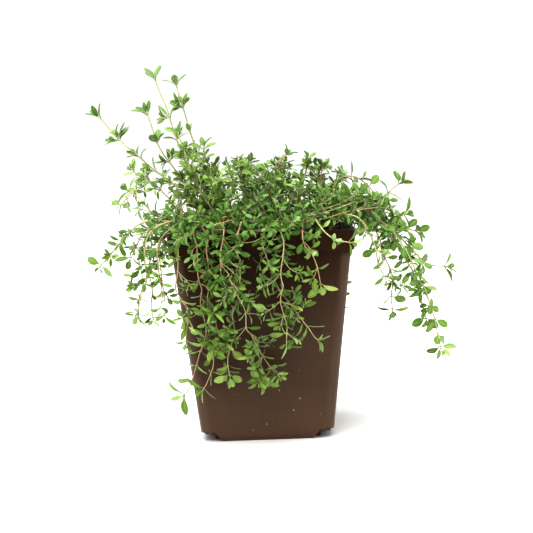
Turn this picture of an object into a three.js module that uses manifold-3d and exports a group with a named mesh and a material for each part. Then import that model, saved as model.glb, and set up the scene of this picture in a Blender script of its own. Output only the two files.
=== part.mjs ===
// Potted thyme: a square brown nursery pot, its potting mix, and the leafy stems that stand in it.
// Millimetres, +Z up. The origin is the middle of the pot's foot, and -Y is the pot's front.
import * as THREE from "three";
import { mergeVertices } from "three/addons/utils/BufferGeometryUtils.js";
import Module from "manifold-3d";

const wasm = await Module();
wasm.setup();
const { Manifold, Mesh } = wasm;

// Pot
const POT_HEIGHT = 130;
const POT_TOP_HALF = 57;
const POT_BASE_HALF = 41;
const WALL = 1.4;
const RIM_HEIGHT = 13;
const RIM_STEP = 2;
const RIM_LIP = 0.7;
const CORNER_RADIUS = 8;
const CORNER_POINTS = 5;
const EDGE_ROUND = 3;
const FOOT_INSET = 1.2;
// Each corner of the foot is raised over a notch, with a drain slot in it. Between the notches a tab of each
// wall runs down to the ground. The front and back tabs end on a slope.
const NOTCH_HEIGHT = 5.5;
const NOTCH_X = 33;
const NOTCH_Y = 19;
const TAB_END = 27.5;
const TAB_SLOPE = 5;
const TAB_DEPTH = 8;
const DRAIN_SLOT = { x: 37, y: 28, width: 4, length: 11 };
const SLOT_SEGMENTS = 4;

// Potting mix
const SOIL_TOP = 118;
const SOIL_GAP = 0.35;
const SOIL_EDGE = 4;
const SOIL_EDGE_INSET = 0.5;
const SOIL_LUMPS = 1.1;
const SOIL_RINGS = 2;
const HOLE_DEPTH = 8;
const HOLE_MARGIN = 0.5;

// Stems
const STEM_SIDES = 4;
const STEM_RADIUS = 0.95;
const TIP_RADIUS = 0.65;
const STEM_STEP = 15;
const SHOOT_TURN = 45;

// Leaves. Widths and thicknesses are halves, from the midrib out.
const LEAF_LENGTH = 9.5;
const LEAF_WIDTH = 3;
const LEAF_THICKNESS = 0.65;
const LEAF_DROOP = 1.1;
const LEAF_LEAN = 0.9;
const BROADEST = 0.55;
const STALK_WIDTH = 0.35;
const STALK_THICKNESS = 0.3;
const STALK_START = 0.1;
const TIP_LEAN = 0.15;
const TIP_SINK = 1.2;
const TIP_SIZE = 0.85;
const PAIR_STEP = 21.5;
const FIRST_PAIR = 15;
const SHOOT_FIRST_PAIR = 4;
const LAST_PAIR_SHARE = 0.98;
const SHRINK_TO_TIP = 0.25;
const LEAF_TURNS = [0, 32, -32, 64, -64];
const CLEARANCE = 0.3;

const QUARTER_TURN = Math.PI / 2;

// A closed mesh that three.js built, as a solid with its faces outward.
function solidOf(geometry) {
  const bare = geometry.index ? geometry.toNonIndexed() : geometry.clone();
  bare.deleteAttribute("normal");
  bare.deleteAttribute("uv");
  const merged = mergeVertices(bare, 1e-4);
  const make = (triVerts) =>
    new Manifold(
      new Mesh({
        numProp: 3,
        vertProperties: merged.getAttribute("position").array,
        triVerts,
      }),
    );
  const corners = new Uint32Array(merged.index.array);
  const solid = make(corners);
  return solid.volume() < 0 ? make(corners.reverse()) : solid;
}

// A solid, as a three.js mesh with its name and material.
function meshOf(name, solid, material) {
  const made = solid.getMesh();
  const geometry = new THREE.BufferGeometry();
  geometry.setAttribute(
    "position",
    new THREE.BufferAttribute(made.vertProperties, 3),
  );
  geometry.setIndex(new THREE.BufferAttribute(made.triVerts, 1));
  geometry.computeVertexNormals();
  const mesh = new THREE.Mesh(geometry, material);
  mesh.name = name;
  return mesh;
}

// The outline of a square with round corners, as points on a plan of the given half width.
function squareOutline(half, radius) {
  const centre = half - radius;
  const outline = [];
  for (let corner = 0; corner < 4; corner++) {
    const middle = (corner + 0.5) * QUARTER_TURN;
    const cx = centre * Math.SQRT2 * Math.cos(middle);
    const cy = centre * Math.SQRT2 * Math.sin(middle);
    for (let k = 0; k < CORNER_POINTS; k++) {
      const angle = (corner + k / (CORNER_POINTS - 1)) * QUARTER_TURN;
      outline.push([cx + radius * Math.cos(angle), cy + radius * Math.sin(angle)]);
    }
  }
  return outline;
}

// A lathed profile whose turns are moved from circles onto round-cornered squares.
// Each profile point is [half width, height]; the first and last have no width and close the form.
function squareLathe(profile, lift = () => 0) {
  const columns = 4 * CORNER_POINTS;
  const points = profile.map(([half, z]) => new THREE.Vector2(half, z));
  const geometry = new THREE.LatheGeometry(points, columns);
  const position = geometry.getAttribute("position");
  for (let i = 0; i < position.count; i++) {
    const column = Math.floor(i / profile.length) % columns;
    const [half, z] = profile[i % profile.length];
    const radius = Math.min(CORNER_RADIUS, half / 2);
    const [x, y] = half ? squareOutline(half, radius)[column] : [0, 0];
    position.setXYZ(i, x, y, z + lift(x, y, z));
  }
  return solidOf(geometry);
}

function box(from, to) {
  const size = to.map((high, i) => high - from[i]);
  const geometry = new THREE.BoxGeometry(...size);
  geometry.translate(...from.map((low, i) => low + size[i] / 2));
  return solidOf(geometry);
}

// The height of the rim's foot, and the outer wall's half width at a height below it.
const RIM_FOOT = POT_HEIGHT - RIM_HEIGHT;
function wallHalf(z) {
  const top = POT_TOP_HALF - RIM_STEP - RIM_LIP;
  return POT_BASE_HALF + ((top - POT_BASE_HALF) * z) / RIM_FOOT;
}

// The empty space under one raised corner, grown by a margin, with the end of the front tab cut on a slope.
function cornerNotch(signX, signY, margin = 0) {
  const far = POT_TOP_HALF + 1;
  const top = NOTCH_HEIGHT + margin;
  const side = box([NOTCH_X - margin, NOTCH_Y - margin, -1], [far, far, top]);
  const slope = box(
    [TAB_END - margin, POT_BASE_HALF - TAB_DEPTH - margin, -1],
    [far, far, top],
  ).warp((v) => {
    if (v[0] < far && v[2] > 0) v[0] += TAB_SLOPE;
  });
  return side.add(slope).scale([signX, signY, 1]);
}

function fourCorners(make) {
  return [
    [1, 1],
    [-1, 1],
    [-1, -1],
    [1, -1],
  ].map(([x, y]) => make(x, y));
}

function drainSlot(signX, signY) {
  const { x, y, width, length } = DRAIN_SLOT;
  const slot = new THREE.Shape();
  const half = (length - width) / 2;
  slot.absarc(0, half, width / 2, 0, Math.PI);
  slot.absarc(0, -half, width / 2, Math.PI, 2 * Math.PI);
  const geometry = new THREE.ExtrudeGeometry(slot, {
    depth: NOTCH_HEIGHT * 2,
    bevelEnabled: false,
    curveSegments: SLOT_SEGMENTS,
  });
  geometry.translate(signX * x, signY * y, 1);
  return solidOf(geometry);
}

function buildPot() {
  const outside = squareLathe([
    [0, 0],
    [POT_BASE_HALF - FOOT_INSET, 0],
    [wallHalf(EDGE_ROUND), EDGE_ROUND],
    [wallHalf(RIM_FOOT), RIM_FOOT],
    [POT_TOP_HALF - RIM_LIP, RIM_FOOT + RIM_LIP / 2],
    [POT_TOP_HALF, POT_HEIGHT - RIM_LIP],
    [POT_TOP_HALF - RIM_LIP, POT_HEIGHT],
    [0, POT_HEIGHT],
  ]);
  const over = POT_HEIGHT + WALL;
  const inside = squareLathe([
    [0, WALL],
    [POT_BASE_HALF - FOOT_INSET - WALL, WALL],
    [wallHalf(EDGE_ROUND) - WALL, EDGE_ROUND + WALL],
    [wallHalf(RIM_FOOT) - WALL, RIM_FOOT],
    [POT_TOP_HALF - RIM_LIP - WALL, RIM_FOOT + WALL],
    [POT_TOP_HALF - WALL, over],
    [0, over],
  ]);
  const raised = fourCorners((x, y) => cornerNotch(x, y, WALL));
  const notches = fourCorners((x, y) => cornerNotch(x, y));
  const cavity = Manifold.difference([inside, ...raised]);
  return Manifold.difference([outside, ...notches, cavity, ...fourCorners(drainSlot)]);
}

// The crumbly top of the mix, as a height above its mean.
function soilLift(x, y) {
  return (
    SOIL_LUMPS *
    (Math.sin(0.31 * x + 1.3) * Math.cos(0.27 * y) +
      0.6 * Math.sin(0.17 * (x - y) + 0.4))
  );
}

function buildSoil() {
  const inset = WALL + SOIL_GAP;
  const topHalf = wallHalf(SOIL_TOP) - inset - SOIL_EDGE_INSET;
  const rings = [];
  for (let ring = SOIL_RINGS; ring > 0; ring--)
    rings.push([(topHalf * ring) / SOIL_RINGS, SOIL_TOP]);
  const body = squareLathe(
    [
      [0, inset],
      [POT_BASE_HALF - FOOT_INSET - inset, inset],
      [wallHalf(EDGE_ROUND) - inset, EDGE_ROUND + inset],
      [wallHalf(SOIL_TOP - SOIL_EDGE) - inset, SOIL_TOP - SOIL_EDGE],
      ...rings,
      [0, SOIL_TOP],
    ],
    (x, y, z) => (z === SOIL_TOP ? soilLift(x, y) : 0),
  );
  const raised = fourCorners((x, y) => cornerNotch(x, y, inset));
  return Manifold.difference([body, ...raised]);
}

// One seeded draw after another, each from 0 to 1.
function draws(seed) {
  let state = seed >>> 0;
  return () => {
    state = (Math.imul(state, 1664525) + 1013904223) >>> 0;
    return state / 4294967296;
  };
}

// Stems that the front shows, each by the points it passes from the soil to its tip, in mm.
// A shoot starts at a point on the stem that it branches from, and is one piece with it.
const STEMS = [
  {
    name: "tall_stem_1",
    turn: 20,
    path: [
      [-27, -3, 118], [-40, -6, 143], [-58, -10, 162], [-82, -14, 184],
      [-104, -16, 209],
    ],
  },
  {
    name: "tall_stem_2",
    turn: 70,
    path: [
      [-19, 9, 118], [-36, 8, 141], [-51, 7, 163], [-64, 7, 186],
      [-74, 8, 212],
    ],
  },
  {
    name: "tall_stem_3",
    turn: 0,
    path: [
      [-16, -2, 118], [-31, -4, 144], [-45, -4, 171], [-56, -6, 203],
      [-66, -8, 233],
    ],
  },
  {
    name: "tall_stem_4",
    turn: 45,
    path: [
      [-9, 12, 118], [-25, 12, 144], [-37, 11, 172], [-46, 10, 201],
      [-53, 10, 231],
    ],
  },
  {
    name: "short_stem_1",
    turn: 10,
    path: [
      [-7, -4, 118], [-21, -6, 144], [-31, -6, 166], [-35, -6, 188],
    ],
  },
  {
    name: "short_stem_2",
    turn: 60,
    path: [
      [-18, -12, 118], [-33, -15, 147], [-43, -16, 171], [-50, -17, 197],
    ],
  },
  {
    name: "left_stem_1",
    turn: 30,
    path: [
      [-33, -12, 118], [-46, -17, 138], [-63, -22, 158], [-81, -25, 173],
    ],
  },
  {
    name: "left_stem_2",
    turn: 75,
    path: [
      [-35, -21, 118], [-48, -25, 133], [-65, -28, 144], [-84, -31, 157],
    ],
  },
  {
    name: "left_stem_3",
    turn: 15,
    path: [
      [-36, -30, 118], [-50, -34, 135], [-66, -36, 137], [-81, -37, 130],
      [-92, -38, 120], [-101, -38, 107],
    ],
  },
  {
    name: "left_stem_4",
    turn: 50,
    path: [
      [-34, -38, 118], [-46, -49, 136], [-60, -57, 136], [-68, -59, 121],
      [-69, -58, 103], [-73, -56, 91], [-79, -54, 82],
    ],
  },
  {
    name: "left_stem_5",
    turn: 0,
    path: [
      [-40, -4, 118], [-52, -9, 135], [-65, -15, 132], [-70, -20, 114],
      [-69, -26, 92], [-70, -30, 73],
    ],
  },
  {
    name: "left_stem_6",
    turn: 35,
    path: [
      [-40, 6, 118], [-54, 5, 136], [-68, 2, 134], [-78, -2, 122],
      [-85, -6, 111],
    ],
  },
  {
    name: "front_stem_1",
    turn: 25,
    path: [
      [-26, -34, 118], [-33, -50, 136], [-37, -66, 130], [-37, -70, 112],
      [-37, -68, 88], [-38, -64, 66], [-42, -61, 47], [-52, -60, 28],
    ],
  },
  {
    name: "front_stem_2",
    turn: 60,
    path: [
      [-18, -36, 118], [-23, -52, 136], [-28, -68, 129], [-30, -72, 110],
      [-30, -69, 86], [-32, -64, 60], [-34, -60, 42], [-38, -59, 32],
    ],
  },
  {
    name: "front_stem_3",
    turn: 5,
    path: [
      [-8, -33, 118], [-15, -50, 138], [-22, -70, 130], [-22, -79, 115],
      [-16, -77, 97], [-10, -72, 78], [-5, -66, 58], [-2, -60, 35],
    ],
    shoots: [
      [
        [-8, -70, 71], [-2, -66, 58], [8, -61, 41],
      ],
    ],
  },
  {
    name: "front_stem_4",
    turn: 40,
    path: [
      [3, -38, 118], [4, -54, 136], [4, -68, 126], [8, -70, 106],
      [16, -67, 86], [25, -63, 71], [35, -62, 65],
    ],
  },
  {
    name: "front_stem_5",
    turn: 15,
    path: [
      [12, -36, 118], [13, -52, 136], [13, -70, 128], [12, -77, 112],
      [11, -75, 95], [11, -70, 77], [15, -65, 61],
    ],
  },
  {
    name: "front_stem_6",
    turn: 80,
    path: [
      [-12, -43, 118], [-14, -56, 134], [-14, -70, 126], [-14, -74, 104],
      [-18, -70, 78], [-22, -65, 58], [-22, -62, 42],
    ],
  },
  {
    name: "front_stem_7",
    turn: 55,
    path: [
      [27, -34, 118], [31, -48, 135], [35, -62, 134], [45, -69, 124],
      [57, -68, 122],
    ],
  },
  {
    name: "front_stem_8",
    turn: 30,
    path: [
      [20, -40, 118], [23, -55, 134], [26, -70, 127], [30, -74, 112],
      [35, -70, 95],
    ],
  },
  {
    name: "front_stem_9",
    turn: 70,
    path: [
      [-33, -28, 118], [-41, -46, 138], [-47, -64, 129], [-49, -69, 108],
      [-47, -67, 84], [-47, -63, 64],
    ],
  },
  {
    name: "right_stem_1",
    turn: 20,
    path: [
      [16, -13, 118], [38, -23, 138], [62, -31, 141], [79, -36, 128],
      [90, -39, 111], [98, -41, 94], [104, -42, 76], [109, -42, 50],
    ],
  },
  {
    name: "right_stem_2",
    turn: 65,
    path: [
      [27, -14, 118], [44, -19, 134], [63, -23, 136], [80, -27, 124],
      [90, -30, 108], [96, -31, 92], [101, -32, 68],
    ],
  },
  {
    name: "right_stem_3",
    turn: 10,
    path: [
      [20, 2, 118], [42, -6, 138], [66, -13, 142], [82, -17, 128],
      [95, -20, 113], [106, -22, 104], [118, -22, 101],
    ],
  },
  {
    name: "right_stem_4",
    turn: 50,
    path: [
      [30, -25, 118], [44, -39, 136], [59, -50, 137], [68, -55, 122],
      [70, -57, 110], [75, -58, 96],
    ],
  },
  {
    name: "right_stem_5",
    turn: 35,
    path: [
      [14, 11, 118], [36, 9, 139], [60, 7, 144], [80, 8, 147],
      [94, 10, 156],
    ],
  },
  {
    name: "right_stem_6",
    turn: 0,
    path: [
      [36, -8, 118], [52, -9, 134], [70, -8, 138], [84, -8, 135],
      [96, -9, 136],
    ],
  },
  {
    name: "right_stem_7",
    turn: 75,
    path: [
      [31, 12, 118], [48, 14, 135], [68, 14, 137], [88, 12, 128],
      [105, 10, 123],
    ],
  },
  {
    name: "mound_stem_1",
    turn: 0,
    path: [
      [12, 2, 118], [21, 3, 137], [29, 3, 156], [33, 2, 178],
    ],
  },
  {
    name: "mound_stem_2",
    turn: 40,
    path: [
      [22, 18, 118], [33, 18, 136], [41, 16, 154], [44, 14, 172],
    ],
  },
  {
    name: "mound_stem_3",
    turn: 70,
    path: [
      [4, -6, 118], [4, -8, 144], [10, -7, 163], [22, -4, 179],
    ],
  },
  {
    name: "mound_stem_4",
    turn: 20,
    path: [
      [-3, -13, 118], [-8, -15, 146], [-13, -15, 174],
    ],
  },
  {
    name: "mound_stem_5",
    turn: 55,
    path: [
      [7, -17, 118], [8, -21, 142], [3, -25, 167],
    ],
  },
  {
    name: "mound_stem_6",
    turn: 85,
    path: [
      [-12, -22, 118], [-19, -27, 140], [-27, -31, 161],
    ],
  },
  {
    name: "mound_stem_7",
    turn: 30,
    path: [
      [14, -25, 118], [20, -31, 137], [25, -36, 156],
    ],
  },
  {
    name: "mound_stem_8",
    turn: 60,
    path: [
      [31, 2, 118], [42, 1, 136], [50, -2, 155],
    ],
  },
  {
    name: "mound_stem_9",
    turn: 15,
    path: [
      [22, -22, 118], [32, -30, 136], [42, -37, 150],
    ],
  },
  {
    name: "mound_stem_10",
    turn: 45,
    path: [
      [2, 5, 118], [-1, 8, 146], [-8, 9, 172],
    ],
  },
];

// Stems at the back, placed by a rule: they fan round from the right to the left in turn, in three habits.
const BACK_STEMS = 14;
const BACK_FROM = 27;
const BACK_TO = 157;
const BACK_SEED = 7;
const BACK_ANGLE_JITTER = 3;
const BACK_SIZE_JITTER = 0.09;
// Each habit's points are [share of the way out to the rim, height over the soil].
const HABITS = [
  { name: "trailing", line: [[0.56, 0], [0.86, 18], [1.16, 17], [1.34, 1], [1.4, -24], [1.42, -52]] },
  { name: "upright", line: [[0.48, 0], [0.64, 27], [0.72, 50]] },
  { name: "arching", line: [[0.43, 0], [0.72, 26], [1.08, 42], [1.45, 38], [1.72, 24]] },
];

function backStems() {
  const draw = draws(BACK_SEED);
  const stems = [];
  for (let i = 0; i < BACK_STEMS; i++) {
    const habit = HABITS[i % HABITS.length];
    const share = i / (BACK_STEMS - 1);
    const swing = BACK_ANGLE_JITTER * (2 * draw() - 1);
    const angle = THREE.MathUtils.degToRad(
      BACK_FROM + share * (BACK_TO - BACK_FROM) + swing,
    );
    const size = 1 + BACK_SIZE_JITTER * (2 * draw() - 1);
    const [c, s] = [Math.cos(angle), Math.sin(angle)];
    const rim = POT_TOP_HALF / Math.max(Math.abs(c), Math.abs(s));
    const path = habit.line.map(([out, up], k) => {
      const reach = out * rim * (k > 2 ? size : 1);
      return [reach * c, reach * s, SOIL_TOP + up * (up > 0 ? 1 : size)];
    });
    stems.push({ name: `back_${habit.name}_stem_${i + 1}`, turn: 90 * draw(), path });
  }
  return stems;
}

// A smooth line through the knots as short straight runs. A main stem has a straight foot in the soil.
function lineThrough(path, foot) {
  const knots = path.map((point) => new THREE.Vector3(...point));
  if (foot) knots.unshift(knots[0].clone().setZ(SOIL_TOP - HOLE_DEPTH));
  const curve = new THREE.CatmullRomCurve3(knots);
  const length = curve.getLength();
  const steps = Math.max(3, Math.round(length / STEM_STEP));
  const { normals, binormals } = curve.computeFrenetFrames(steps);
  const points = normals.map((_, i) => curve.getPointAt(i / steps));
  return { points, normals, binormals, steps, length };
}

// The point and the direction at a share of the line's length.
function along(line, share) {
  const place = share * line.steps;
  const i = Math.min(Math.floor(place), line.steps - 1);
  const [from, to] = [line.points[i], line.points[i + 1]];
  return {
    at: from.clone().lerp(to, place - i),
    tangent: to.clone().sub(from).normalize(),
  };
}

// A tapered stem: a closed cylinder bent along the line.
function stemSolid(line, radius, tip) {
  const geometry = new THREE.CylinderGeometry(tip, radius, 1, STEM_SIDES, line.steps);
  const position = geometry.getAttribute("position");
  for (let i = 0; i < position.count; i++) {
    const ring = Math.round((position.getY(i) + 0.5) * line.steps);
    const p = line.points[ring]
      .clone()
      .addScaledVector(line.normals[ring], position.getX(i))
      .addScaledVector(line.binormals[ring], -position.getZ(i));
    position.setXYZ(i, p.x, p.y, p.z);
  }
  return solidOf(geometry);
}

// Where the leaves of one stem go: opposite pairs, each a quarter turn from the last, and one leaf at the tip.
function leafPlaces(line, turn, first) {
  const leafy = line.length - first;
  const pairs = Math.max(1, Math.round(leafy / PAIR_STEP));
  const places = [];
  for (let k = 0; k < pairs; k++) {
    const share = Math.min((first + (leafy * (k + 0.6)) / pairs) / line.length, LAST_PAIR_SHARE);
    const size = 1 - SHRINK_TO_TIP * (k / pairs) ** 3;
    for (const half of [0, 180]) places.push({ line, share, angle: turn + k * 90 + half, size });
  }
  places.push({ line, share: 1, angle: turn, size: TIP_SIZE, tip: true });
  return places;
}

// A leaf: a three-sided spindle from a narrow stalk in the stem to a broad blade and a drooping tip.
// It is flat underneath, with its midrib as a ridge on top.
function leafSolid({ line, share, angle, size, tip }, turned) {
  const { at, tangent } = along(line, share);
  const level = new THREE.Vector3(-tangent.y, tangent.x, 0);
  if (level.lengthSq() < 1e-6) level.set(1, 0, 0);
  const radians = THREE.MathUtils.degToRad(angle + turned);
  const out = level.normalize().applyAxisAngle(tangent, radians);
  const across = tangent.clone().cross(out);
  const lean = tip ? TIP_LEAN : LEAF_LEAN;
  const forward = tangent.clone().multiplyScalar(Math.cos(lean));
  forward.addScaledVector(out, Math.sin(lean));
  const up = forward.clone().cross(across);
  const root = tip
    ? at.clone().addScaledVector(tangent, -TIP_SINK)
    : at.clone().addScaledVector(out, STALK_START);
  const stalk = {
    place: 0,
    width: STALK_WIDTH,
    thickness: STALK_THICKNESS,
    up: tip ? out.clone().negate() : tangent,
  };
  const blade = {
    place: BROADEST,
    width: LEAF_WIDTH * size,
    thickness: LEAF_THICKNESS,
    up,
  };
  const point = { place: 1, width: 0, thickness: 0, up };
  const geometry = new THREE.CylinderGeometry(1, 1, 2, 3, 2);
  const position = geometry.getAttribute("position");
  for (let i = 0; i < position.count; i++) {
    const ring = [stalk, blade, point][Math.round(position.getY(i)) + 1];
    const p = root
      .clone()
      .addScaledVector(forward, ring.place * LEAF_LENGTH * size)
      .addScaledVector(up, -LEAF_DROOP * ring.place ** 2)
      .addScaledVector(across, position.getX(i) * ring.width)
      .addScaledVector(ring.up, position.getZ(i) * ring.thickness);
    position.setXYZ(i, p.x, p.y, p.z);
  }
  return solidOf(geometry);
}

// The solids that are already placed, so that a new one can keep clear of them.
class Placed {
  constructor() {
    this.items = [];
  }
  add(owner, solid) {
    this.items.push({ owner, solid, bounds: solid.boundingBox() });
  }
  hasRoom(owner, solid) {
    const { min, max } = solid.boundingBox();
    return this.items.every(
      (item) =>
        item.owner === owner ||
        min.some((low, i) => low > item.bounds.max[i] + CLEARANCE) ||
        max.some((high, i) => high < item.bounds.min[i] - CLEARANCE) ||
        item.solid.minGap(solid, 2 * CLEARANCE) >= CLEARANCE,
    );
  }
}

// Every leafy stem as one solid. A leaf that would touch a neighbour is turned round its stem, or left out.
function buildStems(pot, soil) {
  const placed = new Placed();
  placed.add("pot", pot);
  placed.add("soil", soil);
  const stems = [...STEMS, ...backStems()].map(({ name, turn, path, shoots = [] }) => {
    const main = lineThrough(path, true);
    const wood = [stemSolid(main, STEM_RADIUS, TIP_RADIUS)];
    const places = leafPlaces(main, turn, HOLE_DEPTH + FIRST_PAIR);
    for (const shoot of shoots) {
      const line = lineThrough(shoot, false);
      wood.push(stemSolid(line, TIP_RADIUS, TIP_RADIUS));
      places.push(...leafPlaces(line, turn + SHOOT_TURN, SHOOT_FIRST_PAIR));
    }
    wood.forEach((solid) => placed.add(name, solid));
    return { name, hole: stemHole(main), wood, places };
  });
  return stems.map(({ name, hole, wood, places }) => {
    const leaves = [];
    for (const place of places) {
      const choices = LEAF_TURNS.map((turned) => leafSolid(place, turned));
      const leaf = choices.find((solid) => placed.hasRoom(name, solid));
      if (leaf) {
        placed.add(name, leaf);
        leaves.push(leaf);
      }
    }
    return { name, hole, solid: Manifold.union([...wood, ...leaves]) };
  });
}

// A plain hole in the mix for a stem's foot: a wider copy of the stem's first straight run.
function stemHole(line) {
  const [low, high] = line.points;
  const down = low.clone().sub(high).setLength(SOIL_GAP);
  const wide = STEM_RADIUS + HOLE_MARGIN;
  const geometry = new THREE.CylinderGeometry(wide, wide, 1, STEM_SIDES);
  const position = geometry.getAttribute("position");
  for (let i = 0; i < position.count; i++) {
    const end = position.getY(i) < 0 ? low.clone().add(down) : high;
    const p = end
      .clone()
      .addScaledVector(line.normals[0], position.getX(i))
      .addScaledVector(line.binormals[0], -position.getZ(i));
    position.setXYZ(i, p.x, p.y, p.z);
  }
  return solidOf(geometry);
}

const finish = (color, roughness) =>
  new THREE.MeshStandardMaterial({ color, roughness, metalness: 0 });
const POT_PLASTIC = finish(0x543d2e, 0.45);
const POTTING_MIX = finish(0x2e2118, 0.95);
const THYME_GREEN = finish(0x5f8a3c, 0.6);

const pot = buildPot();
const soil = buildSoil();
const stems = buildStems(pot, soil);
const plant = new THREE.Group();
plant.add(meshOf("pot", pot, POT_PLASTIC));
plant.add(
  meshOf(
    "potting_mix",
    Manifold.difference([soil, ...stems.map((stem) => stem.hole)]),
    POTTING_MIX,
  ),
);
for (const { name, solid } of stems) plant.add(meshOf(name, solid, THYME_GREEN));

export default plant;
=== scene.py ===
# Potted thyme: the finished look of the plant in its square nursery pot.
# Metres, +Z up. The origin is the middle of the pot's foot, and -Y is the pot's front.
import math
import random
from dataclasses import dataclass
from functools import partial

import bmesh
import bpy
from bpy.props import FloatProperty, FloatVectorProperty, IntProperty, PointerProperty
from mathutils import Matrix, Vector, geometry, noise


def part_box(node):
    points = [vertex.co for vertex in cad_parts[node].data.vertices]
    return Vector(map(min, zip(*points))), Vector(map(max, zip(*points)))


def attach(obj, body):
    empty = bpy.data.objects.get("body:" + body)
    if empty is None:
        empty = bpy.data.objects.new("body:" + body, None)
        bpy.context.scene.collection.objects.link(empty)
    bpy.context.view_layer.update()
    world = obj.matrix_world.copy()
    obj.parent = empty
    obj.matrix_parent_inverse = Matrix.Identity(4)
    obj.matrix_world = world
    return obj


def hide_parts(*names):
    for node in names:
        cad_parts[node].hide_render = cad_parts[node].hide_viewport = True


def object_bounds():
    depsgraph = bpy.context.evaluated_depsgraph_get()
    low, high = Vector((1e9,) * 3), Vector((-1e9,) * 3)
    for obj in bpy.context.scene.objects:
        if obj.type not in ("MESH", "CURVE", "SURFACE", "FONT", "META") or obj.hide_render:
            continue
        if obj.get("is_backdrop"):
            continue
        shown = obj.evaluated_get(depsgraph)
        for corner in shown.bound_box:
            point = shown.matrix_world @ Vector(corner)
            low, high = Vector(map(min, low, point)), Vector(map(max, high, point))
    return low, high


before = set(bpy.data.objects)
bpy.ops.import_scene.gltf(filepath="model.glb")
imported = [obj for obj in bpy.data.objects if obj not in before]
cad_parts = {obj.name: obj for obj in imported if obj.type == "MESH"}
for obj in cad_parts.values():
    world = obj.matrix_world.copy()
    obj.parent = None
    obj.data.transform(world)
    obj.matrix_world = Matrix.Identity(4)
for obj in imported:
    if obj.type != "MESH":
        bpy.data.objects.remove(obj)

bl_info = {
    "name": "Potted Thyme",
    "version": (1, 0, 0),
    "blender": (4, 5, 0),
    "location": "View3D > Sidebar > Thyme",
    "description": "Builds a potted thyme: its nursery pot, the potting mix and every leafy stem",
    "category": "Object",
}

CAD_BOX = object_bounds()


def shade(code):
    """A colour given as sRGB hex, as the linear values that Blender works in."""
    parts = [int(code[i : i + 2], 16) / 255 for i in (1, 3, 5)]
    return tuple(p / 12.92 if p <= 0.04045 else ((p + 0.055) / 1.055) ** 2.4 for p in parts)


# Pot, as its solid has it
POT_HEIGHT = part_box("pot")[1].z
POT_TOP_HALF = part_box("pot")[1].x
POT_BASE_HALF = 0.041
WALL = 0.0014
RIM_FOOT = POT_HEIGHT - 0.013
RIM_STEP = 0.002
RIM_LIP = 0.0007
CORNER_RADIUS = 0.008
CORNER_SEGMENTS = 10
EDGE_ROUND = 0.003
FOOT_INSET = 0.0012
EDGE_BEVEL = 0.0004
BEVEL_SEGMENTS = 3
NOTCH_HEIGHT = 0.0055
NOTCH_X = 0.033
NOTCH_Y = 0.019
TAB_END = 0.0275
TAB_SLOPE = 0.005
TAB_DEPTH = 0.008
SLOT_X = 0.037
SLOT_Y = 0.028
SLOT_WIDTH = 0.004
SLOT_LENGTH = 0.011
SLOT_SEGMENTS = 12
SHARP_ANGLE = math.radians(32)
CORNER_SIGNS = [(1, 1), (-1, 1), (-1, -1), (1, -1)]

# The wall shows its own colour up to the second height, and by the first it turns to painted shade where the
# foliage and rim shade it.
# Round the corners its own colour reaches higher as a painted sheen, by the distance in from the sharp
# corner, and the sheen fades out under the rim band.
WALL_SHADE_EDGE = (0.116, 0.066)
CORNER_SHEEN_INSET = (0.0075, 0.0048)
CORNER_SHEEN_FADE = 0.004
# A painted glow of light bounced from the floor reaches up to one height, and dust thins out between two
FLOOR_GLOW_TOP = 0.036
DUST_EDGE = (0.02, 0.075)
DUST_SPACING = 0.0042

# Potting mix
MIX_TOP = 0.118
MIX_GAP = 0.00035
MIX_EDGE = 0.004
MIX_EDGE_INSET = 0.0005
MIX_CELLS = 44
# Waves of the top, in radians a metre, where two of them start, and how high the last is against the first
MIX_WAVES = (310, 270, 170)
MIX_STARTS = (1.3, 0.4)
MIX_CROSS_WAVE = 0.6
# Coarse and fine grit, in grains a metre, and how far apart they are taken from the noise
GRIT_CELLS = (330, 900)
GRIT_APART = 5
FINE_GRIT = 0.5
MIX_GRIT = 0.0007
CRUMB_SEED = 3
CRUMB_SIZES = (0.0006, 0.0019)
CRUMB_WIDTHS = (0.5, 0.9)
CRUMB_HEIGHTS = (0.35, 0.7)
CRUMB_LIFT = 0.2
CRUMB_ROUGHNESS = 0.25
PERLITE_SHARE = 0.05

# Stems
STEM_FOOT_DEPTH = 0.008
STEM_SIDES = 7
STEM_MOOD = 0.25
NODE_SWELL = 0.3
BRANCH_SHARE = 0.8
BRANCH_TURN = 45
LINE_STEP = 0.003
LINE_SAMPLES = 12
SHORTEST_LINE = 4
MOST_TRIM = 0.9
NOISE_SEED = 11
# A stem's wander: its length, how soon it is full, and from what share on the stem keeps clear of the pot
WANDER_LENGTH = 0.019
WANDER_FADE = 0.02
WANDER_CLEAR = 0.3
# Gaps between pairs of leaves: chance in them, and the share of one that stays free before the tip
GAP_CHANCE = (0.85, 1.15)
LAST_GAP = 0.6
YOUTH_BEND = 1.5
# What stems and leaves keep clear of the pot's wall and of the part's own box
ROOM = 0.0012

# Side shoots, which start between their stem's heading and the way out
SHOOT_FORWARD = (0.5, 0.9)
SHOOT_OUT = (0.6, 1.0)
SHOOT_SIDES = 5
SHOOT_STEP = 0.0022
SHOOT_RADII = (0.00034, 0.00022)
SHOOT_CURL = 0.1
SHOOT_WOBBLE = 0.13
SHOOT_GREENING = 0.3
SHOOT_YOUTH = 0.2
# Their leaves: how far from the ends, in gaps, and the size at the ends and what is added midway
SHOOT_LEAVES_FROM = 0.75
SHOOT_LEAVES_TO = 0.35
SHOOT_LEAF_SIZES = (0.72, 0.28)
# The tuft at each tip, from its outer pair of leaves inwards
TUFT_STEP = 0.0009
TUFT_SIZES = (1.0, 0.8, 0.42)
TUFT_LEANS = (1.0, 0.65, 0.2)
TUFT_YOUTH = 0.22
SMALLEST_LEAF = 0.0026

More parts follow.
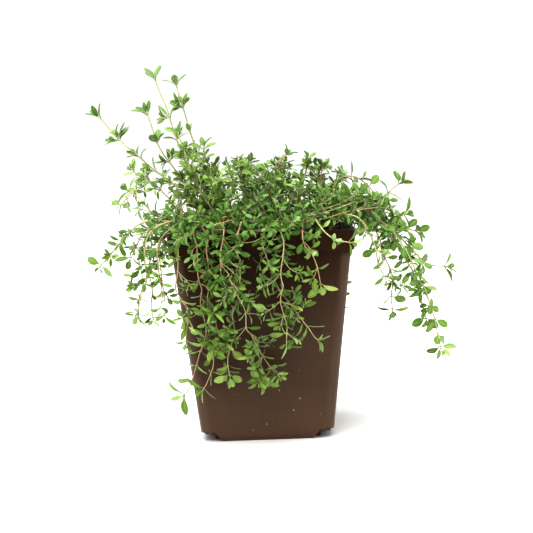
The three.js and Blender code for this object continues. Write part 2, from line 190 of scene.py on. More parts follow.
# Chance in each leaf: in its size, width, lean, roll, turn about the stem and age
SIZE_CHANCE = (0.86, 1.14)
WIDTH_CHANCE = (0.88, 1.12)
LEAN_CHANCE = 0.35
ROLL_CHANCE = 1.1
TURN_CHANCE = 0.25
AGE_CHANCE = 0.16
PALE_BELOW = 0.006
WITHERED_ABOVE = 0.994
YOUNGEST_WITHERED = 0.25
# Where a leaf's light comes from, and how far the leaf bends to it
LIGHT_FROM = (0, -1, 1)
LIGHT_OUTWARD = 0.6
LIGHT_PULL = 0.22
# A leaf that the pot or the box leaves less room than this isn't there
SMALLEST_PRESSED = 0.003
LEAF_BASE = 0.6
# A leaf's width against its form's, and what each metre of its length adds to that
LEAF_WIDTHS = (0.8, 24)

# Colour marks that each stem and leaf carries, from withered through deep green and young to pale
WITHERED, OLD, GROWN, YOUNG, PALE = -1.0, -0.4, 0.0, 1.0, 2.0
UPPER_FACE, UNDERSIDE, STEM_SKIN = 0, 1, 2
QUARTER = math.pi / 2
# Lengths under which two points are the same place, and under which a stem counts as plumb
SAME_PLACE = 1e-5
PLUMB = 1e-3

# A leaf's rows along its length, as shares of it, where its outline turns most, its columns across, and
# the length from which it is made fine
FINE_ROWS = (0.0, 0.19, 0.3, 0.45, 0.64, 0.82, 0.94, 1.0)
PLAIN_ROWS = (0.0, 0.2, 0.4, 0.7, 0.91, 1.0)
FINE_COLUMNS = 4
PLAIN_COLUMNS = 2
FINE_LEAF = 0.0056
STALK_SHARE = 0.2
STALK_HALF = 0.026
BLADE_SKEW = 1.12
BLADE_FULLNESS = 0.62
LEAF_THICKNESS = 0.03
MIDRIB_RIDGE = 0.012
MIDRIB_HALF = 0.1
MERGE_DISTANCE = 1e-4
# Its side veins: how far they slant, and their wave in radians along it
VEIN_SLANT = 0.22
VEIN_WAVE = 62.0
LEAF_GLOW = 0.17


@dataclass
class LeafForm:
    """One shape of leaf, as shares of its length: half width, fold at the midrib, droop, twist and roll."""

    half: float
    fold: float
    droop: float
    twist: float
    roll: float


LEAF_FORMS = [
    LeafForm(half=0.25, fold=0.1, droop=0.1, twist=0.1, roll=0.08),
    LeafForm(half=0.225, fold=0.28, droop=0.18, twist=-0.25, roll=0.15),
    LeafForm(half=0.235, fold=0.15, droop=0.28, twist=0.3, roll=0.2),
    LeafForm(half=0.2, fold=0.4, droop=0.22, twist=-0.1, roll=0.2),
    LeafForm(half=0.165, fold=0.25, droop=0.45, twist=0.35, roll=0.3),
    LeafForm(half=0.185, fold=0.7, droop=0.32, twist=-0.5, roll=0.3),
    LeafForm(half=0.15, fold=0.5, droop=0.6, twist=-0.3, roll=0.2),
]


@dataclass
class Habit:
    """How one kind of stem grows, in metres and radians. Pairs of numbers run from foot to tip."""

    leaf: tuple  # a leaf with its stalk
    gap: tuple  # from one pair of leaves to the next
    bare: float  # the leafless foot above the mix
    tip: float  # what the last leaves reach past the stem's end
    shoots: tuple  # the share of leaf axils with a side shoot
    reach: tuple  # the shortest and longest side shoot
    youth: tuple  # colour mark of the leaves
    skin: tuple  # colour mark of the stem, grown being woody
    radii: tuple  # half the stem's thickness
    wander: float  # how far the stem strays from its line
    lean: float = 0.95  # between a leaf and its stem
    pull: tuple = (0.0, 0.0, 0.1)  # what bends side shoots, for each step of theirs
    outward: float = 0.0  # the same, away from the pot's axis
    shoot_leaf: float = 0.85  # leaf size on side shoots
    shoot_gap: float = 0.0045
    shorten: float = 0.65  # how much shorter the longest side shoots are at the tip
    width: float = 1.0  # leaf width against its form's
    bald: float = 0.15  # the share of side shoots with leaves only at the tip
    facing: float = 0.45  # how far leaves turn their upper face to the light
    rosette: float = 1.0  # leaf size at the tips of side shoots against that along them
    late: float = 1.9  # how late along the stem its leaves change in size


HABITS = {
    # The tall and short stems' lower leaves are marked young: a painted lightening of leaves that the
    # foliage above shades.
    "tall": Habit(
        leaf=(0.0074, 0.0112), gap=(0.0085, 0.018), bare=0.018, tip=0.0068, shoots=(1.0, 0.45),
        reach=(0.002, 0.0105), youth=(0.7, 0.1), skin=(0.9, 1.0), radii=(0.00055, 0.0004),
        wander=0.0008, facing=0.5, lean=0.6, shoot_gap=0.004, shoot_leaf=0.8, shorten=0.8,
        width=0.88,
    ),
    "short": Habit(
        leaf=(0.0062, 0.0088), gap=(0.006, 0.0095), bare=0.012, tip=0.0045, shoots=(1.0, 0.65),
        reach=(0.003, 0.015), youth=(0.7, 0.35), skin=(0.8, 0.9), radii=(0.00055, 0.00038),
        wander=0.001, facing=0.65, lean=0.8,
    ),
    "left": Habit(
        leaf=(0.007, 0.009), gap=(0.0062, 0.0115), bare=0.006, tip=0.003, shoots=(0.7, 0.12),
        reach=(0.004, 0.019), youth=(-0.15, 0.5), skin=(0.3, 0.75), radii=(0.00055, 0.00034),
        wander=0.0018, outward=0.03, width=0.95, pull=(0.0, 0.0, 0.06), shorten=0.75,
        rosette=0.85,
    ),
    "front": Habit(
        leaf=(0.0065, 0.0106), gap=(0.0046, 0.0114), bare=0.004, tip=0.004, shoots=(1.0, 0.24),
        reach=(0.006, 0.034), youth=(-0.4, 0.85), skin=(0.15, 0.6), radii=(0.0005, 0.00034),
        wander=0.0032, outward=0.05, pull=(0.0, -0.01, 0.0), bald=0.28,
        shoot_leaf=0.88, shoot_gap=0.005, shorten=0.8,
    ),
    "right": Habit(
        leaf=(0.0064, 0.0106), gap=(0.0054, 0.012), bare=0.02, tip=0.002, shoots=(1.0, 0.14),
        reach=(0.004, 0.027), youth=(-0.25, 0.45), skin=(0.95, 0.35), radii=(0.00052, 0.00036),
        wander=0.001, outward=0.05, width=1.1, facing=0.7, shorten=0.8, late=1.4, rosette=0.9,
    ),
    "mound": Habit(
        leaf=(0.0059, 0.007), gap=(0.0045, 0.0052), bare=0.005, tip=0.001, shoots=(1.0, 0.9),
        reach=(0.007, 0.029), youth=(-0.2, 0.4), skin=(0.4, 0.8), radii=(0.00052, 0.00036),
        wander=0.0014, pull=(0.0, 0.0, 0.09), outward=0.03, shoot_leaf=0.97, shorten=0.66,
        facing=0.35, width=0.97, bald=0.27, shoot_gap=0.0048, rosette=1.08,
    ),
    "spray": Habit(
        leaf=(0.0058, 0.0082), gap=(0.0055, 0.011), bare=0.005, tip=0.005, shoots=(1.0, 0.3),
        reach=(0.004, 0.024), youth=(-0.2, 0.3), skin=(0.5, 0.1), radii=(0.0006, 0.0004),
        wander=0.0014, outward=0.03, facing=0.35, shorten=0.9, bald=0.2,
    ),
    "runner": Habit(
        leaf=(0.0062, 0.0088), gap=(0.006, 0.009), bare=0.026, tip=0.003, shoots=(0.8, 0.3),
        reach=(0.004, 0.013), youth=(0.0, 0.6), skin=(1.1, 0.7), radii=(0.00055, 0.0004),
        wander=0.0012, outward=0.05, pull=(0.0, 0.0, 0.03),
    ),
}
# Stems of one group that grow as another habit says
OWN_HABITS = {
    "mound_stem_1": "spray",
    "mound_stem_2": "spray",
    "mound_stem_3": "spray",
    "front_stem_7": "runner",
    "right_stem_4": "runner",
}
# The stems at the back by their own habits, each like one of those at the front
BACK_HABITS = {"trailing": "front", "upright": "mound", "arching": "right"}

# The stems by group, in their nodes' order: each the turn of its first leaves in degrees, its place on the
# mix, then the points that it passes
STEMS = {
    "tall": [
        (110, (-0.027, -0.003), (-0.04, -0.006, 0.143), (-0.058, -0.01, 0.162), (-0.082, -0.014, 0.184),
         (-0.104, -0.016, 0.209)),
        (70, (-0.019, 0.009), (-0.036, 0.008, 0.141), (-0.051, 0.007, 0.163), (-0.064, 0.007, 0.186),
         (-0.074, 0.008, 0.212)),
        (45, (-0.016, -0.002), (-0.031, -0.004, 0.144), (-0.045, -0.004, 0.171), (-0.056, -0.006, 0.203),
         (-0.066, -0.008, 0.233)),
        (95, (-0.009, 0.012), (-0.025, 0.012, 0.144), (-0.037, 0.011, 0.172), (-0.046, 0.01, 0.201),
         (-0.053, 0.01, 0.231)),
    ],
    "short": [
        (10, (-0.007, -0.004), (-0.021, -0.006, 0.144), (-0.031, -0.006, 0.166), (-0.035, -0.006, 0.188)),
        (60, (-0.018, -0.012), (-0.033, -0.015, 0.147), (-0.043, -0.016, 0.171), (-0.05, -0.017, 0.197)),
    ],
    "left": [
        (30, (-0.033, -0.012), (-0.046, -0.017, 0.138), (-0.063, -0.022, 0.158), (-0.081, -0.025, 0.173)),
        (75, (-0.035, -0.021), (-0.048, -0.025, 0.133), (-0.065, -0.028, 0.144), (-0.084, -0.031, 0.157)),
        (15, (-0.036, -0.03), (-0.05, -0.034, 0.135), (-0.066, -0.036, 0.137), (-0.081, -0.037, 0.13),
         (-0.092, -0.038, 0.12), (-0.101, -0.038, 0.107)),
        (50, (-0.034, -0.038), (-0.046, -0.049, 0.136), (-0.06, -0.057, 0.136), (-0.068, -0.059, 0.121),
         (-0.069, -0.058, 0.103), (-0.073, -0.056, 0.091), (-0.079, -0.054, 0.082)),
        (0, (-0.04, -0.004), (-0.052, -0.009, 0.135), (-0.065, -0.015, 0.132), (-0.07, -0.02, 0.114),
         (-0.069, -0.026, 0.092), (-0.07, -0.03, 0.073)),
        (35, (-0.04, 0.006), (-0.054, 0.005, 0.136), (-0.068, 0.002, 0.134), (-0.078, -0.002, 0.122),
         (-0.085, -0.006, 0.111)),
    ],
    "front": [
        (25, (-0.026, -0.034), (-0.033, -0.05, 0.136), (-0.037, -0.066, 0.13), (-0.037, -0.07, 0.112),
         (-0.037, -0.068, 0.088), (-0.038, -0.064, 0.066), (-0.042, -0.061, 0.047), (-0.052, -0.06, 0.028)),
        (60, (-0.018, -0.036), (-0.023, -0.052, 0.136), (-0.028, -0.068, 0.129), (-0.03, -0.072, 0.11),
         (-0.03, -0.069, 0.086), (-0.032, -0.064, 0.06), (-0.034, -0.06, 0.042), (-0.038, -0.059, 0.032)),
        (5, (-0.008, -0.033), (-0.015, -0.05, 0.138), (-0.022, -0.07, 0.13), (-0.022, -0.079, 0.115),
         (-0.016, -0.077, 0.097), (-0.01, -0.072, 0.078), (-0.005, -0.066, 0.058), (-0.002, -0.06, 0.035)),
        (40, (0.003, -0.038), (0.004, -0.054, 0.136), (0.004, -0.068, 0.126), (0.008, -0.07, 0.106),
         (0.016, -0.067, 0.086), (0.025, -0.063, 0.071), (0.035, -0.062, 0.065)),
        (15, (0.012, -0.036), (0.013, -0.052, 0.136), (0.013, -0.07, 0.128), (0.012, -0.077, 0.112),
         (0.011, -0.075, 0.095), (0.011, -0.07, 0.077), (0.015, -0.065, 0.061)),
        (80, (-0.012, -0.043), (-0.014, -0.056, 0.134), (-0.014, -0.07, 0.126), (-0.014, -0.074, 0.104),
         (-0.018, -0.07, 0.078), (-0.022, -0.065, 0.058), (-0.022, -0.062, 0.042)),
        (55, (0.027, -0.034), (0.031, -0.048, 0.135), (0.035, -0.062, 0.134), (0.045, -0.069, 0.124),
         (0.057, -0.068, 0.122)),
        (75, (0.02, -0.04), (0.023, -0.055, 0.134), (0.026, -0.07, 0.127), (0.03, -0.074, 0.112),
         (0.035, -0.07, 0.095)),
        (70, (-0.033, -0.028), (-0.041, -0.046, 0.138), (-0.047, -0.064, 0.129), (-0.049, -0.069, 0.108),
         (-0.047, -0.067, 0.084), (-0.047, -0.063, 0.064)),
    ],
    "right": [
        (20, (0.016, -0.013), (0.038, -0.023, 0.138), (0.062, -0.031, 0.141), (0.079, -0.036, 0.128),
         (0.09, -0.039, 0.111), (0.098, -0.041, 0.094), (0.104, -0.042, 0.076), (0.109, -0.042, 0.05)),
        (65, (0.027, -0.014), (0.044, -0.019, 0.134), (0.063, -0.023, 0.136), (0.08, -0.027, 0.124),
         (0.09, -0.03, 0.108), (0.096, -0.031, 0.092), (0.101, -0.032, 0.068)),
        (10, (0.02, 0.002), (0.042, -0.006, 0.138), (0.066, -0.013, 0.142), (0.082, -0.017, 0.128),
         (0.095, -0.02, 0.113), (0.106, -0.022, 0.104), (0.118, -0.022, 0.101)),
        (50, (0.03, -0.025), (0.044, -0.039, 0.136), (0.059, -0.05, 0.137), (0.068, -0.055, 0.122),
         (0.07, -0.057, 0.11), (0.075, -0.058, 0.096)),
        (35, (0.014, 0.011), (0.036, 0.009, 0.139), (0.06, 0.007, 0.144), (0.08, 0.008, 0.147),
         (0.094, 0.01, 0.156)),
        (0, (0.036, -0.008), (0.052, -0.009, 0.134), (0.07, -0.008, 0.138), (0.084, -0.008, 0.135),
         (0.096, -0.009, 0.136)),
        (75, (0.031, 0.012), (0.048, 0.014, 0.135), (0.068, 0.014, 0.137), (0.088, 0.012, 0.128),
         (0.105, 0.01, 0.123)),
    ],
    "mound": [
        (0, (0.012, 0.002), (0.021, 0.003, 0.137), (0.029, 0.003, 0.156), (0.033, 0.002, 0.178)),
        (40, (0.022, 0.018), (0.033, 0.018, 0.136), (0.041, 0.016, 0.154), (0.044, 0.014, 0.172)),
        (70, (0.004, -0.006), (0.004, -0.008, 0.144), (0.01, -0.007, 0.163), (0.022, -0.004, 0.179)),
        (20, (-0.003, -0.013), (-0.008, -0.015, 0.146), (-0.013, -0.015, 0.174)),
        (55, (0.007, -0.017), (0.008, -0.021, 0.142), (0.003, -0.025, 0.167)),
        (85, (-0.012, -0.022), (-0.019, -0.027, 0.14), (-0.027, -0.031, 0.161)),
        (30, (0.014, -0.025), (0.02, -0.031, 0.137), (0.025, -0.036, 0.156)),
        (60, (0.031, 0.002), (0.042, 0.001, 0.136), (0.05, -0.002, 0.155)),
        (15, (0.022, -0.022), (0.032, -0.03, 0.136), (0.042, -0.037, 0.15)),
        (45, (0.002, 0.005), (-0.001, 0.008, 0.146), (-0.008, 0.009, 0.172)),
    ],
}
# Side branches by stem: each the length of its bare foot, then the points that it passes
SIDE_BRANCHES = {
    "front_stem_3": [
        (0.004, (-0.008, -0.07, 0.071), (-0.002, -0.066, 0.058), (0.008, -0.061, 0.041)),
    ],
    "left_stem_4": [
        (0.012, (-0.051, -0.052, 0.1365), (-0.061, -0.059, 0.126), (-0.0615, -0.062, 0.11),
         (-0.06, -0.061, 0.094), (-0.063, -0.059, 0.083)),
    ],
    "left_stem_5": [
        (0.012, (-0.052, -0.009, 0.135), (-0.063, -0.027, 0.124), (-0.062, -0.039, 0.106),
         (-0.06, -0.044, 0.089), (-0.061, -0.045, 0.077)),
    ],
    "right_stem_4": [
        (0.062, (0, -0.028, 0.119), (0.013, -0.043, 0.134), (0.04, -0.042, 0.14), (0.057, -0.038, 0.145),
         (0.067, -0.034, 0.149)),
        (0.066, (0.01, -0.036, 0.119), (0.024, -0.05, 0.132), (0.047, -0.045, 0.138),
         (0.067, -0.038, 0.143), (0.082, -0.034, 0.146)),
    ],
    "right_stem_6": [
        (0.05, (0.008, -0.028, 0.119), (0.018, -0.04, 0.136), (0.033, -0.04, 0.14), (0.047, -0.038, 0.144),
         (0.062, -0.034, 0.151)),
        (0.07, (0.006, -0.042, 0.119), (0.021, -0.052, 0.134), (0.037, -0.05, 0.136), (0.053, -0.046, 0.14),
         (0.076, -0.04, 0.142)),
    ],
}
# Where dried leaves still hang, as a share of the stem's length
DRY_LEAVES = {"front_stem_1": [0.9], "left_stem_5": [0.62], "back_trailing_stem_4": [0.8]}
DRY_LEAF = 0.0055
DRY_LEAN = 2.2

# Stems at the back, placed by a rule: they fan round from the right to the left in turn, in three habits
BACK_STEMS = 14
BACK_FROM = 27
BACK_TO = 157
BACK_SEED = 7
# How one draw gives the next
DRAW_FACTOR, DRAW_STEP, DRAW_RANGE = 1664525, 1013904223, 2**32
BACK_ANGLE_JITTER = 3
BACK_SIZE_JITTER = 0.09
# The points of a line from this number on reach out by chance
BACK_REACH_FROM = 3
# Each line's points are (share of the way out to the rim, height over the mix)
BACK_LINES = [
    ("trailing", [(0.56, 0), (0.86, 0.018), (1.16, 0.017), (1.34, 0.001), (1.4, -0.024), (1.42, -0.052)]),
    ("upright", [(0.48, 0), (0.64, 0.027), (0.72, 0.05)]),
    ("arching", [(0.43, 0), (0.72, 0.026), (1.08, 0.042), (1.45, 0.038), (1.72, 0.024)]),
]

# Camera, as the photograph has it, and the light
CAMERA_PLACE = (0.0, -0.75, 0.17)
CAMERA_PITCH = 5.0
CAMERA_YAW = -0.22
CAMERA_ROLL = -2.0
CAMERA_LENS = 78.55
SENSOR_WIDTH = 36.0
VIEW_GAMMA = 0.64
# How far up, as the sine of the angle, the room turns from the walls to the overhead light
WALLS_TO_OVERHEAD = (0.2, 0.5)
KEY_PLACE = (-0.22, -0.4, 1.25)
FLOOR_HALF = 12


# Settings, by their kinds

colour_value = partial(FloatVectorProperty, subtype="COLOR", size=3, min=0, max=1)
light_value = partial(FloatProperty, min=0, max=3)
size_value = partial(FloatProperty, subtype="FACTOR", min=0.5, max=1.5)
length_value = partial(FloatProperty, subtype="DISTANCE", unit="LENGTH")


class PotSettings(bpy.types.PropertyGroup):
    plastic: colour_value(
        name="Plastic", description="Colour of the pot's plastic", default=shade("#554335"),
    )
    polish: FloatProperty(
        name="Roughness", description="How dull the plastic is", subtype="FACTOR",
        min=0, max=1, default=0.38,
    )


class MixSettings(bpy.types.PropertyGroup):
    peat: colour_value(name="Peat", description="Colour of the damp peat", default=shade("#33241a"))
    lumps: length_value(
        name="Lumps", description="How far the top rises and falls", min=0, max=0.003, default=0.0011,
    )
    crumbs: IntProperty(
        name="Crumbs", description="Loose crumbs that lie on the top", min=0, max=1500, default=520,
    )


class FoliageSettings(bpy.types.PropertyGroup):
    leaf_size: size_value(
        name="Leaf size", description="Size of every leaf against the measured one", default=1.0,
    )
    stem_size: size_value(
        name="Stem thickness", description="Thickness of every stem against the measured one", default=1.0,
    )
    grown_leaf: colour_value(
        name="Grown leaf", description="Upper face of a full-grown leaf", default=shade("#679041"),
    )
    young_leaf: colour_value(
        name="Young leaf", description="Upper face of a young leaf", default=shade("#9cb25c"),
    )
    underside: colour_value(
        name="Underside", description="Underside of a full-grown leaf", default=shade("#99b07a"),
    )
    woody_stem: colour_value(name="Woody stem", description="Skin of an old stem", default=shade("#b29679"))
    green_stem: colour_value(name="Green stem", description="Skin of a young stem", default=shade("#b2b586"))


class StageSettings(bpy.types.PropertyGroup):
    floor: colour_value(name="Floor", description="Colour of the floor", default=shade("#f0f0f0"))
    overhead: light_value(
        name="Overhead light", description="Strength of the white room's light from above", default=1.52,
    )
    walls: light_value(
        name="Light of the walls", description="Strength of the white room's light from the sides",
        default=1.04,
    )
    key_power: FloatProperty(
        name="Key light", description="Power of the soft light at the upper left", subtype="POWER",
        unit="POWER", min=0, max=100, default=28.0,
    )
    key_size: length_value(
        name="Key light size", description="Side of the soft light", min=0.1, max=3, default=1.3,
    )


# Nodes and materials

def add_node(tree, kind, inputs=(), output=0, **settings):
    """Adds a node and gives one of its outputs.

    Its inputs are values, or other nodes' outputs to link, in their order or by socket name or number.
    """
    node = tree.nodes.new("ShaderNode" + kind)
    for name, value in settings.items():
        setattr(node, name, value)
    pairs = inputs.items() if isinstance(inputs, dict) else enumerate(inputs)
    for key, value in pairs:
        socket = node.inputs[key]
        if isinstance(value, bpy.types.NodeSocket):
            tree.links.new(value, socket)
        else:
            socket.default_value = (*value, 1.0) if socket.type == "RGBA" else value
    return node.outputs[output] if node.outputs else None


def new_material(name):
    """An empty material, and the function that adds nodes to it."""
    material = bpy.data.materials.new(name)
    material.use_nodes = True
    material.node_tree.nodes.clear()
    return material, partial(add_node, material.node_tree)


def pattern(add, size, detail=2.0, rough=0.5, stretch=(1, 1, 1)):
    """A noise in the object's own coordinates whose features are about the given size, in metres."""
    place = add("Mapping", {"Vector": add("TexCoord", output="Object"), "Scale": stretch})
    grain = {"Vector": place, "Scale": 1 / size, "Detail": detail, "Roughness": rough}
    return add("TexNoise", grain, "Fac")


def layered(add, colour, *layers):
    """A colour under layers. Each shows more as its value runs from start to end, up to its strength."""
    for value, start, end, strength, over in layers:
        share = add("MapRange", [value, start, end, 0, strength])
        colour = add("Mix", {0: share, 6: colour, 7: over}, 2, data_type="RGBA")
    return colour


def skin_with(add, relief, strength, depth, looks):
    """The shader of a skin whose relief is about as deep as the given depth, in metres."""
    bump = add("Bump", {"Height": relief, "Strength": strength, "Distance": depth})
    return add("BsdfPrincipled", {**looks, "Normal": bump})


def moulded_polypropylene(settings):
    """Injection-moulded polypropylene: satin brown, with a faint bloom, flow lines and dust low down,
    painted shade high on the wall, a painted corner sheen and painted floor light at the foot.
    """
    material, add = new_material("Moulded brown polypropylene")
    place = add("TexCoord", output="Object")
    height = add("SeparateXYZ", [place], 2)
    # The lower two thirds of the wall show the plastic's own colour. Higher up it darkens to painted shade,
    # where foliage and rim shade the wall, with a painted dark reflection.
    out_of_shade = add("MapRange", [height, *WALL_SHADE_EDGE])
    # Round the corners the wall's own colour reaches up to the rim band, with a grey painted sheen there.
    taper = (wall_half(RIM_FOOT) - wall_half(0)) / RIM_FOOT
    sides = add("VectorMath", [place], operation="ABSOLUTE")
    away = add("VectorMath", [sides, (1, 1, -2 * taper)], "Value", operation="DOT_PRODUCT")
    band = add("MapRange", [away, *(2 * POT_BASE_HALF - inset for inset in CORNER_SHEEN_INSET)])
    below = add("MapRange", [height, RIM_FOOT, RIM_FOOT - CORNER_SHEEN_FADE])
    corner = add("Math", [band, below], operation="MULTIPLY")
    out_of_shade = add("Math", [out_of_shade, corner], operation="MAXIMUM")
    # Handling and weather leave a paler bloom in patches of 20 to 30 mm.
    patches = add("MapRange", [pattern(add, 0.024, detail=3), 0.42, 0.72])
    bloom = add("Math", [patches, out_of_shade], operation="MULTIPLY")
    # The melt ran up the wall from the foot and left streaks 3 mm apart.
    streaks = pattern(add, 0.003, stretch=(1, 1, 0.06))
    # Specks of dust up to 1 mm across cling to the lower part of the wall.
    cells = add("TexVoronoi", {"Vector": place, "Scale": 1 / DUST_SPACING}, "Distance")
    speck = add("MapRange", [cells, 0.08, 0.15, 1, 0])
    chosen = add("SeparateColor", [cells.node.outputs["Color"]])
    rare = add("MapRange", [chosen, 0.8, 0.84])
    low = add("MapRange", [height, *DUST_EDGE, 1, 0.04])
    dust = add("Math", [speck, rare], operation="MULTIPLY")
    dust = add("Math", [dust, low], operation="MULTIPLY")
    colour = layered(
        # The dark brown underneath is painted shade.
        add, shade("#3c2003"),
        (out_of_shade, 0, 1, 1, settings.plastic),
        (bloom, 0, 1, 0.28, shade("#654e3a")),
        # A grey painted sheen round the corners.
        (corner, 0, 1, 0.13, shade("#85786d")),
        # A painted glow of floor light, strongest at the foot.
        (height, FLOOR_GLOW_TOP, 0, 0.4, shade("#7f6555")),
        (streaks, 0.45, 0.7, 0.07, shade("#3a2013")),
        (dust, 0, 1, 1, shade("#b39a84")),
    )
    dull = [pattern(add, 0.012, detail=3), 0.3, 0.7, settings.polish - 0.05, settings.polish + 0.09]
    looks = {
        "Base Color": colour, "Roughness": add("MapRange", dull), "IOR": 1.49, "Specular IOR Level": 0.22,
        # A faint dusty sheen catches the light where the wall turns away, round the corners.
        "Sheen Weight": 0.22, "Sheen Roughness": 0.35, "Sheen Tint": shade("#c8cdd6"),
    }
    # The mould's fine texture has a grain of 0.5 mm.
    add("OutputMaterial", [skin_with(add, pattern(add, 0.0005, detail=1), 0.12, 0.0001, looks)])
    return material


def damp_peat(settings):
    """Milled peat with composted bark: dark, matt and fibrous, lighter where crumbs have dried."""
    material, add = new_material("Damp peat and bark")
    fibres = pattern(add, 0.0016, detail=6, rough=0.7)
    lumps = pattern(add, 0.007, detail=3)
    colour = layered(
        add, settings.peat,
        (fibres, 0.35, 0.75, 0.8, shade("#5b4330")),
        (lumps, 0.35, 0.65, 0.6, shade("#231812")),
    )
    looks = {"Base Color": colour, "Roughness": 0.92}
    add("OutputMaterial", [skin_with(add, fibres, 0.7, 0.0006, looks)])
    return material


def perlite():
    """Expanded perlite: chalky off-white grains, pitted at 0.3 mm."""
    material, add = new_material("Expanded perlite")
    pits = pattern(add, 0.0003)
    colour = layered(add, shade("#b9b2a4"), (pits, 0.35, 0.65, 1, shade("#e4dfd4")))
    looks = {"Base Color": colour, "Roughness": 0.9}
    add("OutputMaterial", [skin_with(add, pits, 0.5, 0.0002, looks)])
    return material


def leaf_tissue(name, grown, young, pale, gloss):
    """A living leaf: a waxy skin over green tissue that lets some light through, with a paler midrib.

    Its colour runs with the leaf's age, each leaf differs a little, and fine side veins line the skin.
    """
    material, add = new_material(name)
    age, own, along, across = (
        add("Attribute", output="Fac", attribute_name=mark) for mark in ("age", "tint", "along", "across")
    )
    colour = layered(add, grown, (age, GROWN, YOUNG, 1, young), (age, YOUNG, PALE, 1, pale))
    # Old leaves deep in the plant are darker, partly a fuller green of their own and partly painted shade of
    # the plant's interior, and they wither to brown.
    deep = {0: add("MapRange", [age, GROWN, OLD]), 6: colour, 7: shade("#c8d9a2")}
    colour = add("Mix", deep, 2, data_type="RGBA", blend_type="MULTIPLY")
    colour = layered(add, colour, (age, OLD, WITHERED, 1, shade("#8a6440")))
    # Each leaf has its own shade.
    colour = add("HueSaturation", {
        "Color": colour,
        "Hue": add("MapRange", [own, 0, 1, 0.508, 0.49]),
        "Saturation": add("MapRange", [own, 0, 1, 1.22, 0.86]),
        "Value": add("MapRange", [own, 0, 1, 0.54, 1.22]),
    })
    # The midrib, a tenth of the leaf's width, and the side veins that slant from it.
    off = add("Math", [across], operation="ABSOLUTE")
    midrib = add("MapRange", [off, 0.04, 0.16, 0.4, 0])
    slant = add("Math", [off, -VEIN_SLANT, along], operation="MULTIPLY_ADD")
    wave = add("Math", [slant, VEIN_WAVE], operation="MULTIPLY")
    veins = add("MapRange", [add("Math", [wave], operation="SINE"), 0.6, 1.0])
    faint = add("Math", [veins, 0.12], operation="MULTIPLY")
    lines = add("Math", [midrib, faint], operation="MAXIMUM")
    # They show over a mottle of 2 mm.
    colour = layered(add, colour, (pattern(add, 0.002), 0.3, 0.7, 0.3, grown), (lines, 0, 1, 1, pale))
    # Short fine hairs give the skin a pale sheen.
    sheen = {"Sheen Weight": 0.34, "Sheen Roughness": 0.45}
    looks = {"Base Color": colour, "Roughness": gloss, "IOR": 1.5, **sheen}
    skin = skin_with(add, veins, 0.25, 0.0002, looks)
    through = add("Mix", {0: 0.5, 6: colour, 7: shade("#a2bd6a")}, 2, data_type="RGBA")
    back = add("BsdfTranslucent", [through])
    add("OutputMaterial", [add("MixShader", [LEAF_GLOW, skin, back])])
    return material


def leaf_upper_face(settings):
    """The upper face: a full green with a satin gloss."""
    young, pale = settings.young_leaf, shade("#c6d287")
    return leaf_tissue("Thyme leaf upper face", settings.grown_leaf, young, pale, 0.4)


def leaf_underside(settings):
    """The underside: paler, greyer and duller."""
    young, pale = shade("#a9c877"), shade("#cdd39c")
    return leaf_tissue("Thyme leaf underside", settings.underside, young, pale, 0.6)


def stem_bark(settings):
    """Stem skin: smooth yellow-green when young, thin reddish-brown bark when old, in streaks along it."""
    material, add = new_material("Thyme stem skin")
    patches = add("MapRange", [pattern(add, 0.004, detail=3), 0.25, 0.75, -0.25, 0.25])
    age = add("Attribute", output="Fac", attribute_name="age")
    green = add("Math", [age, patches], operation="ADD")
    streaks = pattern(add, 0.0006, stretch=(1, 1, 0.2))
    colour = layered(
        add, settings.woody_stem,
        (green, 0.15, 0.85, 1, settings.green_stem),
        (streaks, 0.45, 0.75, 0.4, shade("#8a6050")),
    )
    looks = {"Base Color": colour, "Roughness": 0.58, "IOR": 1.45}
    add("OutputMaterial", [skin_with(add, streaks, 0.4, 0.0001, looks)])
    return material


def matt_paper(settings):
    """Matt white paper, whose grain of 2 mm only just shows."""
    material, add = new_material("Matt white paper")
    colour = layered(add, settings.floor, (pattern(add, 0.002), 0.3, 0.7, 1, shade("#ededed")))
    add("OutputMaterial", [add("BsdfPrincipled", {"Base Color": colour, "Roughness": 0.9})])
    return material


made_materials = {}


def once(make, settings):
    """The material that make gives, made only the first time."""
    if make.__name__ not in made_materials:
        made_materials[make.__name__] = make(settings)
    return made_materials[make.__name__]


# Pieces

def finished(name, mesh, materials, slot, *nodes):
    """A finished piece at the origin, with its materials, that rides with the part in place of its nodes."""
    for material in materials:
        mesh.materials.append(material)
    piece = bpy.data.objects.new(name, mesh)
    bpy.context.scene.collection.objects.link(piece)
    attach(piece, "root")
    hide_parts(*nodes)
    return piece


def as_mesh(name, body):
    """Turns a bmesh into a mesh and frees it."""
    mesh = bpy.data.meshes.new(name)
    body.to_mesh(mesh)
    body.free()
    return mesh


def as_object(name, body):
    """Turns a bmesh into an object in the scene and frees it."""
    made = bpy.data.objects.new(name, as_mesh(name, body))
    bpy.context.scene.collection.objects.link(made)
    return made


def next_ring(body, edges):
    """Extrudes a ring of edges in its place, and gives the new ring's vertices and edges."""
    made = bmesh.ops.extrude_edge_only(body, edges=edges)["geom"]
    ring = {v for v in made if isinstance(v, bmesh.types.BMVert)}
    return ring, [e for e in made if isinstance(e, bmesh.types.BMEdge) and set(e.verts) <= ring]


def close(body, edges):
    """Fills a body's last ring and turns its faces outwards."""
    bmesh.ops.edgeloop_fill(body, edges=edges)
    bmesh.ops.recalc_face_normals(body, faces=body.faces)


def between(pair, share):
    """The value at a share of the way from a pair's first to its second."""
    return pair[0] + (pair[1] - pair[0]) * share


def wall_half(z):
    """The outer half width of the wall under the rim at a height."""
    top = POT_TOP_HALF - RIM_STEP - RIM_LIP
    return POT_BASE_HALF + (top - POT_BASE_HALF) * z / RIM_FOOT


